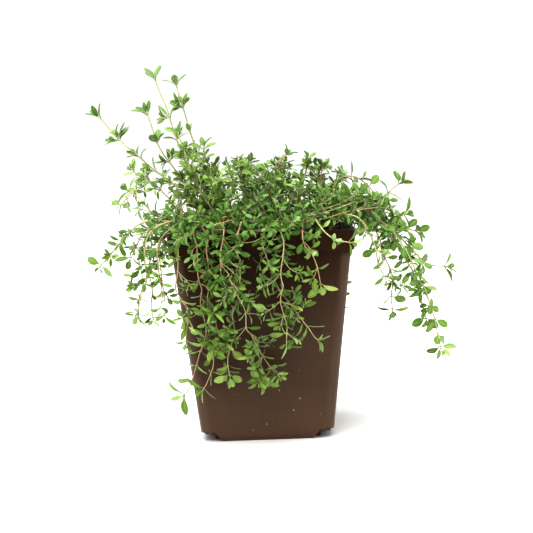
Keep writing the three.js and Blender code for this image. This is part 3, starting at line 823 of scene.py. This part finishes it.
def square_body(profile, rounded=()):
    """A closed body through round-cornered squares, each (half width, height), some with bevelled edges."""
    body = bmesh.new()
    half, z = profile[0]
    corners = [body.verts.new((x * half, y * half, z)) for x, y in CORNER_SIGNS]
    body.faces.new(corners)
    bmesh.ops.bevel(
        body, geom=corners, offset=CORNER_RADIUS, segments=CORNER_SEGMENTS, profile=0.5,
        affect="VERTICES", material=-1,
    )
    edges = list(body.edges)
    soft = []
    for i, (next_half, next_z) in enumerate(profile[1:], 1):
        ring, edges = next_ring(body, edges)
        for vert in ring:
            vert.co.x += math.copysign(next_half - half, vert.co.x)
            vert.co.y += math.copysign(next_half - half, vert.co.y)
            vert.co.z += next_z - z
        half, z = next_half, next_z
        if i in rounded:
            soft += edges
    close(body, edges)
    if soft:
        bmesh.ops.bevel(
            body, geom=soft, offset=EDGE_BEVEL, segments=BEVEL_SEGMENTS, profile=0.5,
            affect="EDGES", material=-1,
        )
    return body


def block(low, high, lean=0.0):
    """A block between two corners. Its low x side leans out by lean towards its top."""
    body = bmesh.new()
    bmesh.ops.create_cube(body, size=1)
    size = [b - a for a, b in zip(low, high)]
    bmesh.ops.scale(body, vec=size, verts=body.verts)
    bmesh.ops.translate(body, vec=[a + s / 2 for a, s in zip(low, size)], verts=body.verts)
    for vert in body.verts:
        if vert.co.x < high[0] - size[0] / 2 and vert.co.z > 0:
            vert.co.x += lean
    return body


def notch_blocks(x, y, margin=0.0):
    """What stands empty under one raised corner of the foot, grown by a margin, as two blocks."""
    far = POT_TOP_HALF
    under = -EDGE_BEVEL
    top = NOTCH_HEIGHT + margin
    side = block((NOTCH_X - margin, NOTCH_Y - margin, under), (far, far, top))
    deep = POT_BASE_HALF - TAB_DEPTH - margin
    slope = block((TAB_END - margin, deep, under), (far, far, top), lean=TAB_SLOPE)
    for body in (side, slope):
        bmesh.ops.scale(body, vec=(x, y, 1), verts=body.verts)
        bmesh.ops.recalc_face_normals(body, faces=body.faces)
    return [side, slope]


def drain_slot(x, y):
    """The tool that leaves one long drain slot in the foot."""
    body = bmesh.new()
    bmesh.ops.create_cone(
        body, cap_ends=True, segments=2 * SLOT_SEGMENTS, radius1=SLOT_WIDTH / 2, radius2=SLOT_WIDTH / 2,
        depth=2 * NOTCH_HEIGHT,
    )
    for vert in body.verts:
        vert.co.y += math.copysign((SLOT_LENGTH - SLOT_WIDTH) / 2, vert.co.y)
    bmesh.ops.translate(body, vec=(x * SLOT_X, y * SLOT_Y, 2 * NOTCH_HEIGHT), verts=body.verts)
    return body


def cut(body, tools):
    """Cuts tools out of an object and removes them."""
    for tool in tools:
        modifier = body.modifiers.new("Cut", "BOOLEAN")
        modifier.operation = "DIFFERENCE"
        modifier.solver = "EXACT"
        modifier.object = tool
    graph = bpy.context.evaluated_depsgraph_get()
    result = bpy.data.meshes.new_from_object(body.evaluated_get(graph))
    body.modifiers.clear()
    body.data = result
    for tool in tools:
        bpy.data.objects.remove(tool)


def build_pot(settings):
    """The pot as one moulded shell: tapered walls, stepped rim, raised corners at the foot, drain slots."""
    outside = square_body(
        [
            (POT_BASE_HALF - FOOT_INSET, 0),
            (wall_half(EDGE_ROUND), EDGE_ROUND),
            (wall_half(RIM_FOOT), RIM_FOOT),
            (POT_TOP_HALF - RIM_LIP, RIM_FOOT + RIM_LIP / 2),
            (POT_TOP_HALF, POT_HEIGHT - RIM_LIP),
            (POT_TOP_HALF - RIM_LIP, POT_HEIGHT),
        ],
        rounded=(1, 3, 4, 5),
    )
    inside = square_body(
        [
            (POT_BASE_HALF - FOOT_INSET - WALL, WALL),
            (wall_half(EDGE_ROUND) - WALL, EDGE_ROUND + WALL),
            (wall_half(RIM_FOOT) - WALL, RIM_FOOT),
            (POT_TOP_HALF - RIM_LIP - WALL, RIM_FOOT + WALL),
            (POT_TOP_HALF - WALL, POT_HEIGHT + WALL),
        ],
        rounded=(1,),
    )
    cavity = as_object("cavity", inside)
    raised = [part for x, y in CORNER_SIGNS for part in notch_blocks(x, y, WALL)]
    cut(cavity, [as_object("raised floor", part) for part in raised])
    pot = as_object("pot shell", outside)
    notches = [part for x, y in CORNER_SIGNS for part in notch_blocks(x, y)]
    tools = [as_object("notch", part) for part in notches]
    tools += [cavity, *(as_object("drain slot", drain_slot(x, y)) for x, y in CORNER_SIGNS)]
    cut(pot, tools)
    mesh = pot.data
    bpy.data.objects.remove(pot)
    shell = bmesh.new()
    shell.from_mesh(mesh)
    for face in shell.faces:
        face.smooth = True
    for edge in shell.edges:
        edge.smooth = edge.calc_face_angle(math.pi) < SHARP_ANGLE
    shell.to_mesh(mesh)
    shell.free()
    mesh.materials.clear()
    piece = finished("nursery_pot", mesh, [moulded_polypropylene(settings)], "pot_plastic", "pot")
    even = piece.modifiers.new("Even shading", "WEIGHTED_NORMAL")
    even.keep_sharp = True


def rounded_place(x, y, half, radius):
    """A point of a square, moved so that the square's corners become round."""
    flat = half - radius
    dx, dy = abs(x) - flat, abs(y) - flat
    if dx <= 0 or dy <= 0:
        return x, y
    pulled = max(dx, dy) / math.hypot(dx, dy)
    return math.copysign(flat + dx * pulled, x), math.copysign(flat + dy * pulled, y)


def mix_lift(x, y, lumps):
    """The height of the mix's crumbly top over its mean."""
    broad = math.sin(MIX_WAVES[0] * x + MIX_STARTS[0]) * math.cos(MIX_WAVES[1] * y)
    return lumps * (broad + MIX_CROSS_WAVE * math.sin(MIX_WAVES[2] * (x - y) + MIX_STARTS[1]))


def add_crumbs(body, half, lumps, count):
    """Crumbs and grains of perlite, strewn on the top of the mix and half sunk in it."""
    draw = random.Random(CRUMB_SEED)
    noise.seed_set(NOISE_SEED)
    for _ in range(count):
        x, y = (draw.uniform(-1, 1) * (half - CORNER_RADIUS / 2) for _ in range(2))
        size = draw.uniform(*CRUMB_SIZES)
        place = Vector((x, y, MIX_TOP + mix_lift(x, y, lumps) + CRUMB_LIFT * size))
        turn = Matrix.Rotation(draw.uniform(0, math.tau), 4, Vector((draw.random(), draw.random(), 1)))
        form = Matrix.Diagonal((1, draw.uniform(*CRUMB_WIDTHS), draw.uniform(*CRUMB_HEIGHTS), 1))
        made = bmesh.ops.create_icosphere(
            body, subdivisions=1, radius=size, matrix=Matrix.Translation(place) @ turn @ form,
        )["verts"]
        for vert in made:
            vert.co += CRUMB_ROUGHNESS * size * noise.noise_vector(vert.co * GRIT_CELLS[1])
        if draw.random() < PERLITE_SHARE:
            for face in {f for v in made for f in v.link_faces}:
                face.material_index = 1


def build_mix(settings):
    """The potting mix: a body that fills the pot, with a gritty uneven top and loose crumbs on it."""
    inset = WALL + MIX_GAP
    top = wall_half(MIX_TOP) - inset - MIX_EDGE_INSET
    body = bmesh.new()
    bmesh.ops.create_grid(body, x_segments=MIX_CELLS, y_segments=MIX_CELLS, size=top)
    for vert in body.verts:
        x, y = rounded_place(vert.co.x, vert.co.y, top, CORNER_RADIUS)
        coarse, fine = (noise.noise((x * c, y * c, GRIT_APART * k)) for k, c in enumerate(GRIT_CELLS))
        grit = MIX_GRIT * (coarse + FINE_GRIT * fine)
        vert.co = (x, y, MIX_TOP + mix_lift(x, y, settings.lumps) + grit)
    edges = [e for e in body.edges if e.is_boundary]
    half = top
    step = NOTCH_HEIGHT + 2 * inset
    foot = min(NOTCH_X, POT_BASE_HALF - TAB_DEPTH) - inset - CORNER_RADIUS
    levels = [
        (wall_half(MIX_TOP - MIX_EDGE) - inset, MIX_TOP - MIX_EDGE),
        (wall_half(step) - inset, step),
        (foot, step),
        (foot, inset),
    ]
    for next_half, z in levels:
        ring, edges = next_ring(body, edges)
        flat = half - CORNER_RADIUS
        for vert in ring:
            vert.co.x += (next_half - half) * max(-1, min(1, vert.co.x / flat))
            vert.co.y += (next_half - half) * max(-1, min(1, vert.co.y / flat))
            vert.co.z = z
        half = next_half
    close(body, edges)
    add_crumbs(body, top, settings.lumps, settings.crumbs)
    materials = [damp_peat(settings), perlite()]
    finished("peat_bed", as_mesh("peat bed", body), materials, "potting_mix", "potting_mix")


# Lines that stems follow

class Line:
    """A line of points, and how far along it each lies."""

    def __init__(self, points):
        self.points = points
        self.runs = [0.0]
        for a, b in zip(points, points[1:]):
            self.runs.append(self.runs[-1] + (b - a).length)
        self.length = self.runs[-1]

    def at(self, distance):
        """The place and the heading at a distance from the line's start."""
        k = 0
        while k < len(self.points) - 2 and self.runs[k + 1] < distance:
            k += 1
        a, b = self.points[k], self.points[k + 1]
        share = (distance - self.runs[k]) / (self.runs[k + 1] - self.runs[k])
        return a.lerp(b, min(1, max(0, share))), (b - a).normalized()


def smooth_line(knots, step):
    """Points about a step apart along a curve through the knots, which stays calm where they lie close."""
    ends = [2 * knots[0] - knots[1], *knots, 2 * knots[-1] - knots[-2]]
    dense = []
    for p0, p1, p2, p3 in zip(ends, ends[1:], ends[2:], ends[3:]):
        d0, d1, d2 = (math.sqrt((b - a).length) for a, b in ((p0, p1), (p1, p2), (p2, p3)))
        leave = d1 * ((p1 - p0) / d0 - (p2 - p0) / (d0 + d1) + (p2 - p1) / d1)
        arrive = d1 * ((p2 - p1) / d1 - (p3 - p1) / (d1 + d2) + (p3 - p2) / d2)
        span = geometry.interpolate_bezier(p1, p1 + leave / 3, p2 - arrive / 3, p2, LINE_SAMPLES)
        dense += span[bool(dense) :]
    line = Line(dense)
    steps = max(3, round(line.length / step))
    return [line.at(line.length * i / steps)[0] for i in range(steps + 1)]


def wandering(points, amount, seed):
    """The line with a slight natural wander, which starts above its foot and stays off the pot."""
    moved = []
    for point, run in zip(points, Line(points).runs):
        fade = min(1, max(0, (run - STEM_FOOT_DEPTH) / WANDER_FADE))
        place = point + 2 * amount * fade * noise.noise_vector((run / WANDER_LENGTH, seed, 0.0))
        moved.append(kept_clear(place) if fade > WANDER_CLEAR else point)
    return moved


def trimmed(points, length):
    """The line without the given length at its end."""
    while len(points) > SHORTEST_LINE and (points[-1] - points[-2]).length < length:
        length -= (points[-1] - points[-2]).length
        points = points[:-1]
    last = points[-1] - points[-2]
    return points[:-1] + [points[-2] + last * (1 - min(MOST_TRIM, length / last.length))]


def outward_of(point):
    """The level direction away from the pot's axis, shorter near it."""
    level = Vector((point.x, point.y, 0))
    return level / max(level.length, POT_TOP_HALF)


def kept_clear(point):
    """The point, moved off the floor, off the pot's wall, out of the mix and into the part's own box."""
    x, y, z = (
        min(high - ROOM, max(low + ROOM, value)) for value, low, high in zip(point, CAD_BOX[0], CAD_BOX[1])
    )
    reach = max(abs(x), abs(y), SAME_PLACE)
    outer = POT_TOP_HALF if z > RIM_FOOT - ROOM else wall_half(z)
    inner = wall_half(min(z, RIM_FOOT)) - WALL
    if z > POT_HEIGHT + ROOM or reach > outer + ROOM:
        return Vector((x, y, z))
    if z > MIX_TOP - 2 * ROOM and reach < (inner + outer) / 2:
        pulled = min(1, (inner - ROOM) / reach)
        return Vector((x * pulled, y * pulled, max(z, MIX_TOP + ROOM)))
    pushed = (outer + ROOM) / reach
    return Vector((x * pushed, y * pushed, z))


def rings_along(line, radii, swells=()):
    """A frame for each point of the line, whose first two axes are as long as the stem's radius there."""
    points, rings = line.points, []
    side = (points[1] - points[0]).orthogonal().normalized()
    for i, point in enumerate(points):
        heading = (points[min(i + 1, len(points) - 1)] - points[max(i - 1, 0)]).normalized()
        side = (side - heading * side.dot(heading)).normalized()
        radius = between(radii, line.runs[i] / line.length)
        near = min((abs(line.runs[i] - s) for s in swells), default=1.0)
        radius *= 1 + NODE_SWELL * max(0, 1 - near / LINE_STEP)
        axes = Matrix((side * radius, heading.cross(side) * radius, heading * radius)).transposed()
        rings.append(Matrix.Translation(point) @ axes.to_4x4())
    return rings


# Leaves

def leaf_half_width(form, share):
    """Half the leaf's width at a share of its length: a thin stalk, then a blunt oval blade."""
    if share <= STALK_SHARE:
        return STALK_HALF
    blade = (share - STALK_SHARE) / (1 - STALK_SHARE)
    width = form.half * max(0.0, math.sin(math.pi * blade**BLADE_SKEW)) ** BLADE_FULLNESS
    return max(STALK_HALF, width) if share < 1 else 0.0


def leaf_body(form, rows, columns):
    """One leaf of unit length along +Y, its upper face up: a thin closed blade with a midrib under it."""
    leaf = bmesh.new()
    bmesh.ops.create_grid(leaf, x_segments=columns, y_segments=len(rows) - 1, size=0.5)
    along = leaf.verts.layers.float.new("along")
    across = leaf.verts.layers.float.new("across")
    for name in ("age", "tint"):
        leaf.verts.layers.float.new(name)
    for vert in leaf.verts:
        side = 2 * vert.co.x
        share = rows[round((vert.co.y + 0.5) * (len(rows) - 1))]
        width = leaf_half_width(form, share)
        vert[along], vert[across] = share, side
        lift = width * (form.fold * abs(side) - form.roll * side**4)
        vert.co = (width * side, share, lift)
    upper = list(leaf.faces)
    copied = bmesh.ops.duplicate(leaf, geom=leaf.verts[:] + leaf.edges[:] + leaf.faces[:])["geom"]
    under = [g for g in copied if isinstance(g, bmesh.types.BMFace)]
    bmesh.ops.reverse_faces(leaf, faces=under)
    for vert in {v for f in under for v in f.verts}:
        side = abs(vert[across])
        depth = LEAF_THICKNESS * (1 - side**2) + (MIDRIB_RIDGE if side < MIDRIB_HALF else 0)
        vert.co.z -= depth * min(1, leaf_half_width(form, vert[along]) / STALK_HALF)
    for face in leaf.faces:
        face.smooth = True
        face.material_index = UPPER_FACE if face in upper else UNDERSIDE
    for vert in leaf.verts:
        share = vert[along]
        turn = Matrix.Rotation(form.twist * share, 3, "Y")
        vert.co = turn @ vert.co - Vector((0, 0, form.droop * share**2))
    bmesh.ops.remove_doubles(leaf, verts=leaf.verts, dist=MERGE_DISTANCE)
    for edge in leaf.edges:
        kinds = {f.material_index for f in edge.link_faces}
        edge.smooth = len(kinds) == 1
    bmesh.ops.recalc_face_normals(leaf, faces=leaf.faces)
    return leaf


class LeafyStem:
    """One leafy stem while it grows: its mesh, the leaf forms it draws from and its own seeded draws."""

    def __init__(self, node, habit, settings, forms):
        self.node, self.habit, self.settings, self.forms = node, habit, settings, forms
        self.draw = random.Random(node)
        self.body = bmesh.new()
        for name in ("age", "tint", "along", "across"):
            self.body.verts.layers.float.new(name)
        self.scratch = bpy.data.meshes.new("scratch")

    def stray(self, amount):
        """A drawn direction, of about the given length."""
        return amount * Vector([self.draw.gauss(0, 1) for _ in range(3)])

    def take_in(self, part):
        """Adds a small bmesh to the stem's own and frees it."""
        part.to_mesh(self.scratch)
        part.free()
        self.body.from_mesh(self.scratch)

    def tube(self, line, radii, sides, ages, swells=()):
        """A closed tapered tube along a line."""
        rings = rings_along(line, [r * self.settings.stem_size for r in radii], swells)
        part = bmesh.new()
        layer = part.verts.layers.float.new("age")
        first = bmesh.ops.create_circle(part, cap_ends=True, segments=sides, radius=1, matrix=rings[0])
        for vert in first["verts"]:
            vert[layer] = ages[0]
        edges = list(part.edges)
        for run, last, this in zip(line.runs[1:], rings, rings[1:]):
            ring, edges = next_ring(part, edges)
            bmesh.ops.transform(part, matrix=this @ last.inverted(), verts=list(ring))
            for vert in ring:
                vert[layer] = between(ages, run / line.length)
        close(part, edges)
        for face in part.faces:
            face.smooth = True
            face.material_index = STEM_SKIN
        self.take_in(part)

    def leaf(self, root, heading, out, size, lean, age):
        """One leaf, leaning from its stem's heading towards out, its upper face partly to the light."""
        draw, habit = self.draw, self.habit
        size *= self.settings.leaf_size * draw.uniform(*SIZE_CHANCE)
        lean += draw.uniform(-LEAN_CHANCE, LEAN_CHANCE)
        light = (Vector(LIGHT_FROM) + LIGHT_OUTWARD * outward_of(root)).normalized()
        forward = math.cos(lean) * heading + math.sin(lean) * out
        forward = (forward + LIGHT_PULL * light).normalized()
        tip = root + forward * size
        clear = kept_clear(tip)
        if (clear - tip).length > SAME_PLACE:
            size = min(size, (clear - root).length)
            forward = (clear - root).normalized()
            if size < SMALLEST_PRESSED:
                return
        up = forward.cross(heading.cross(out))
        up = up * (1 - habit.facing) + light * habit.facing
        up = (up - forward * up.dot(forward)).normalized()
        across = forward.cross(up)
        roll = draw.uniform(-1, 1) * (ROLL_CHANCE - habit.facing)
        across, up = (
            across * math.cos(roll) + up * math.sin(roll),
            up * math.cos(roll) - across * math.sin(roll),
        )
        part = draw.choice(self.forms)[size > FINE_LEAF].copy()
        own_age = age + draw.uniform(-AGE_CHANCE, AGE_CHANCE)
        chance = draw.random()
        if chance < PALE_BELOW:
            own_age = PALE
        elif chance > WITHERED_ABOVE and age < YOUNGEST_WITHERED:
            own_age = WITHERED
        tint = draw.random()
        layers = part.verts.layers.float
        for vert in part.verts:
            vert[layers["age"]] = own_age
            vert[layers["tint"]] = tint
        wide = habit.width * (LEAF_WIDTHS[0] + LEAF_WIDTHS[1] * size) * draw.uniform(*WIDTH_CHANCE)
        axes = Matrix((across * size * wide, forward * size, up * size)).transposed().to_4x4()
        bmesh.ops.transform(part, matrix=Matrix.Translation(root) @ axes, verts=part.verts)
        self.take_in(part)

    def pair(self, line, distance, turn, radius, size, lean, age):
        """A pair of opposite leaves. Gives the place, the heading and the two directions out."""
        at, heading = line.at(distance)
        level = Vector((-heading.y, heading.x, 0))
        if level.length < PLUMB:
            level = Vector((1, 0, 0))
        outs = []
        for half in (0, math.pi):
            swing = self.draw.uniform(-TURN_CHANCE, TURN_CHANCE)
            out = Matrix.Rotation(turn + half + swing, 3, heading) @ level.normalized()
            self.leaf(at + out * radius * LEAF_BASE, heading, out, size, lean, age)
            outs.append(out)
        return at, heading, outs

    def tuft(self, line, turn, size, age):
        """The close pairs of leaves at a tip, smaller and steeper inwards."""
        for k, (share, lean) in enumerate(zip(TUFT_SIZES, TUFT_LEANS)):
            if size * share < SMALLEST_LEAF:
                continue
            distance = line.length - TUFT_STEP * (len(TUFT_SIZES) - 1 - k)
            lean *= self.habit.lean
            self.pair(line, distance, turn + k * QUARTER, SHOOT_RADII[1], size * share, lean, age)

    def shoot(self, at, heading, out, length, size, age, skin, turn):
        """A leafy side shoot: it starts between its stem's heading and out, and bends as its habit says."""
        habit, draw = self.habit, self.draw
        course = heading * draw.uniform(*SHOOT_FORWARD) + out * draw.uniform(*SHOOT_OUT)
        course = course.normalized()
        steps = max(3, round(length / SHOOT_STEP))
        points = [at]
        bend = Vector(habit.pull) + habit.outward * outward_of(at) + self.stray(SHOOT_CURL)
        for _ in range(steps):
            course = (course + bend + self.stray(SHOOT_WOBBLE)).normalized()
            points.append(kept_clear(points[-1] + course * length / steps))
        line = Line(points)
        self.tube(line, SHOOT_RADII, SHOOT_SIDES, (skin, min(1.0, skin + SHOOT_GREENING)))
        pairs = 0 if draw.random() < habit.bald else round(length / habit.shoot_gap)
        for k in range(pairs):
            share = (k + SHOOT_LEAVES_FROM) / (pairs + SHOOT_LEAVES_TO)
            own = size * (SHOOT_LEAF_SIZES[0] + SHOOT_LEAF_SIZES[1] * math.sin(math.pi * share))
            youth = age + SHOOT_YOUTH * share
            self.pair(line, share * line.length, turn + k * QUARTER, SHOOT_RADII[0], own, habit.lean, youth)
        self.tuft(line, turn + pairs * QUARTER, size * habit.rosette, age + TUFT_YOUTH)

    def grow(self, route, turn, first, foot):
        """A stem from foot to tip: pairs of leaves a quarter turn apart, side shoots and a tuft."""
        habit, draw, turn = self.habit, self.draw, math.radians(turn)
        points = trimmed(smooth_line([Vector(point) for point in route], LINE_STEP), habit.tip)
        line = Line(wandering(points, habit.wander, turn) if foot else points)
        mood = draw.uniform(-STEM_MOOD, STEM_MOOD)
        places, distance = [], first
        while distance < line.length - LAST_GAP * habit.gap[1]:
            share = distance / line.length
            places.append((distance, share))
            distance += between(habit.gap, share) * draw.uniform(*GAP_CHANCE)
        skins = [skin + mood for skin in habit.skin]
        radii = habit.radii if foot else [BRANCH_SHARE * radius for radius in habit.radii]
        self.tube(line, radii, STEM_SIDES, skins, [d for d, _ in places])
        for k, (distance, share) in enumerate(places):
            size = between(habit.leaf, share**habit.late)
            age = between(habit.youth, share**YOUTH_BEND)
            angle = turn + k * QUARTER
            at, heading, outs = self.pair(line, distance, angle, habit.radii[1], size, habit.lean, age)
            for out in outs:
                if draw.random() < between(habit.shoots, share):
                    longest = habit.reach[1] * (1 - habit.shorten * share)
                    length = draw.uniform(habit.reach[0], max(habit.reach[0], longest))
                    skin = between(skins, share)
                    self.shoot(at, heading, out, length, size * habit.shoot_leaf, age, skin, angle)
        self.tuft(line, turn + len(places) * QUARTER, habit.leaf[1], habit.youth[1])
        for share in DRY_LEAVES.get(self.node, []) if foot else []:
            self.pair(line, share * line.length, turn, 0, DRY_LEAF, DRY_LEAN, WITHERED)

    def piece(self):
        """Makes the finished piece, which stands for the stem's node."""
        mesh = as_mesh(self.node + " foliage", self.body)
        bpy.data.meshes.remove(self.scratch)
        skins = [once(make, self.settings) for make in (leaf_upper_face, leaf_underside, stem_bark)]
        finished(self.node + "_foliage", mesh, skins, "thyme_foliage", self.node)


def seeded(seed):
    """One seeded draw after another, each from 0 to 1."""
    state = seed
    while True:
        state = (state * DRAW_FACTOR + DRAW_STEP) % DRAW_RANGE
        yield state / DRAW_RANGE


def own_stems(*groups):
    """The stems of some groups: each with its node's name, its habit, its turn in degrees and its route."""
    for group in groups:
        for number, (turn, place, *route) in enumerate(STEMS[group], 1):
            node = f"{group}_stem_{number}"
            yield node, OWN_HABITS.get(node, group), turn, [(*place, MIX_TOP), *route]


def back_stems():
    """The stems at the back, in the same form: their routes swing round the pot's axis."""
    draw = seeded(BACK_SEED)
    for i in range(BACK_STEMS):
        kind, shape = BACK_LINES[i % len(BACK_LINES)]
        swing = BACK_ANGLE_JITTER * (2 * next(draw) - 1)
        angle = math.radians(between((BACK_FROM, BACK_TO), i / (BACK_STEMS - 1)) + swing)
        size = 1 + BACK_SIZE_JITTER * (2 * next(draw) - 1)
        c, s = math.cos(angle), math.sin(angle)
        rim = POT_TOP_HALF / max(abs(c), abs(s))
        route = []
        for k, (out, up) in enumerate(shape):
            reach = out * rim * (size if k >= BACK_REACH_FROM else 1)
            route.append((reach * c, reach * s, MIX_TOP + up * (1 if up > 0 else size)))
        yield f"back_{kind}_stem_{i + 1}", BACK_HABITS[kind], 90 * next(draw), route


def build_stems(stems, settings):
    """Builds every stem of a group as one piece each."""
    grids = [(PLAIN_ROWS, PLAIN_COLUMNS), (FINE_ROWS, FINE_COLUMNS)]
    forms = [[leaf_body(form, *grid) for grid in grids] for form in LEAF_FORMS]
    noise.seed_set(NOISE_SEED)
    for node, habit, turn, route in stems:
        stem = LeafyStem(node, HABITS[habit], settings, forms)
        foot = Vector(route[0]) - Vector((0, 0, STEM_FOOT_DEPTH))
        stem.grow([foot, *route], turn, STEM_FOOT_DEPTH + stem.habit.bare, True)
        for first, *branch in SIDE_BRANCHES.get(node, []):
            stem.grow(branch, turn + BRANCH_TURN, first, False)
        stem.piece()
    for form in sum(forms, []):
        form.free()


# Operators

class THYME_OT_build_pot(bpy.types.Operator):
    """Builds the square nursery pot"""

    bl_idname = "thyme.build_pot"
    bl_label = "Pot"

    def execute(self, context):
        build_pot(context.scene.thyme_pot)
        return {"FINISHED"}


class THYME_OT_build_mix(bpy.types.Operator):
    """Fills the pot with potting mix"""

    bl_idname = "thyme.build_mix"
    bl_label = "Potting mix"

    def execute(self, context):
        build_mix(context.scene.thyme_mix)
        return {"FINISHED"}


class THYME_OT_build_upright_stems(bpy.types.Operator):
    """Grows the tall stems at the left and the mound over the pot's mouth"""

    bl_idname = "thyme.build_upright_stems"
    bl_label = "Tall stems and mound"

    def execute(self, context):
        build_stems(own_stems("tall", "short", "mound"), context.scene.thyme_foliage)
        return {"FINISHED"}


class THYME_OT_build_trailing_stems(bpy.types.Operator):
    """Grows the stems that trail over the left, front and right of the rim"""

    bl_idname = "thyme.build_trailing_stems"
    bl_label = "Trailing stems"

    def execute(self, context):
        build_stems(own_stems("left", "front", "right"), context.scene.thyme_foliage)
        return {"FINISHED"}


class THYME_OT_build_back_stems(bpy.types.Operator):
    """Grows the stems at the back, which fan round from the right to the left"""

    bl_idname = "thyme.build_back_stems"
    bl_label = "Back stems"

    def execute(self, context):
        build_stems(back_stems(), context.scene.thyme_foliage)
        return {"FINISHED"}


def add_floor(settings):
    """A plain pale floor that reaches past every view."""
    sheet = bmesh.new()
    bmesh.ops.create_grid(sheet, x_segments=1, y_segments=1, size=FLOOR_HALF)
    floor = as_object("floor", sheet)
    floor.data.materials.append(matt_paper(settings))
    floor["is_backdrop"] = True


def add_key_light(settings):
    """A large square soft light at the upper left, which points at the pot's rim."""
    data = bpy.data.lights.new("key light", "AREA")
    data.shape = "SQUARE"
    data.size = settings.key_size
    data.energy = settings.key_power
    light = bpy.data.objects.new("key light", data)
    light.location = KEY_PLACE
    way = Vector((0, 0, POT_HEIGHT)) - Vector(KEY_PLACE)
    light.rotation_euler = way.to_track_quat("-Z", "Y").to_euler()
    bpy.context.scene.collection.objects.link(light)


def add_room(settings):
    """A white room around, brighter overhead than along its walls."""
    world = bpy.data.worlds.new("white room")
    world.use_nodes = True
    world.node_tree.nodes.clear()
    add = partial(add_node, world.node_tree)
    rise = add("SeparateXYZ", [add("TexCoord", output="Generated")], 2)
    strength = add("MapRange", [rise, *WALLS_TO_OVERHEAD, settings.walls, settings.overhead])
    add("OutputWorld", [add("Background", [(1, 1, 1), strength])])
    bpy.context.scene.world = world


def add_camera():
    """The camera, as the photograph has it."""
    data = bpy.data.cameras.new("camera")
    data.lens = CAMERA_LENS
    data.sensor_width = SENSOR_WIDTH
    camera = bpy.data.objects.new("camera", data)
    turn = Matrix.Rotation(math.radians(CAMERA_YAW), 4, "Z")
    tilt = Matrix.Rotation(math.radians(90 - CAMERA_PITCH), 4, "X")
    roll = Matrix.Rotation(math.radians(CAMERA_ROLL), 4, "Z")
    camera.matrix_world = Matrix.Translation(CAMERA_PLACE) @ turn @ tilt @ roll
    bpy.context.scene.collection.objects.link(camera)
    bpy.context.scene.camera = camera


class THYME_OT_build_stage(bpy.types.Operator):
    """Sets the floor, the soft studio light and the camera"""

    bl_idname = "thyme.build_stage"
    bl_label = "Stage"

    def execute(self, context):
        settings = context.scene.thyme_stage
        add_floor(settings)
        add_key_light(settings)
        add_room(settings)
        add_camera()
        context.scene.view_settings.view_transform = "Standard"
        context.scene.view_settings.gamma = VIEW_GAMMA
        return {"FINISHED"}


BUILDERS = [
    THYME_OT_build_pot,
    THYME_OT_build_mix,
    THYME_OT_build_upright_stems,
    THYME_OT_build_trailing_stems,
    THYME_OT_build_back_stems,
    THYME_OT_build_stage,
]


class THYME_PT_panel(bpy.types.Panel):
    """The builders and their settings, in the sidebar"""

    bl_idname = "THYME_PT_panel"
    bl_label = "Potted Thyme"
    bl_space_type = "VIEW_3D"
    bl_region_type = "UI"
    bl_category = "Thyme"

    def draw(self, context):
        for builder in BUILDERS:
            self.layout.operator(builder.bl_idname)
        for name, group in SETTINGS.items():
            box = self.layout.box()
            for prop in group.__annotations__:
                box.prop(getattr(context.scene, name), prop)


SETTINGS = {
    "thyme_pot": PotSettings,
    "thyme_mix": MixSettings,
    "thyme_foliage": FoliageSettings,
    "thyme_stage": StageSettings,
}


def register():
    for group in SETTINGS.values():
        bpy.utils.register_class(group)
    for name, group in SETTINGS.items():
        setattr(bpy.types.Scene, name, PointerProperty(type=group))
    for builder in BUILDERS:
        bpy.utils.register_class(builder)
    bpy.utils.register_class(THYME_PT_panel)


def unregister():
    bpy.utils.unregister_class(THYME_PT_panel)
    for builder in reversed(BUILDERS):
        bpy.utils.unregister_class(builder)
    for name, group in SETTINGS.items():
        delattr(bpy.types.Scene, name)
        bpy.utils.unregister_class(group)


def main():
    register()
    bpy.ops.thyme.build_pot()
    bpy.ops.thyme.build_mix()
    bpy.ops.thyme.build_upright_stems()
    bpy.ops.thyme.build_trailing_stems()
    bpy.ops.thyme.build_back_stems()
    bpy.ops.thyme.build_stage()
    boxes = {"cad": CAD_BOX, "visual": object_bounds()}
    {name: [list(corner) for corner in box] for name, box in boxes.items()}


if __name__ == "__main__":
    main()
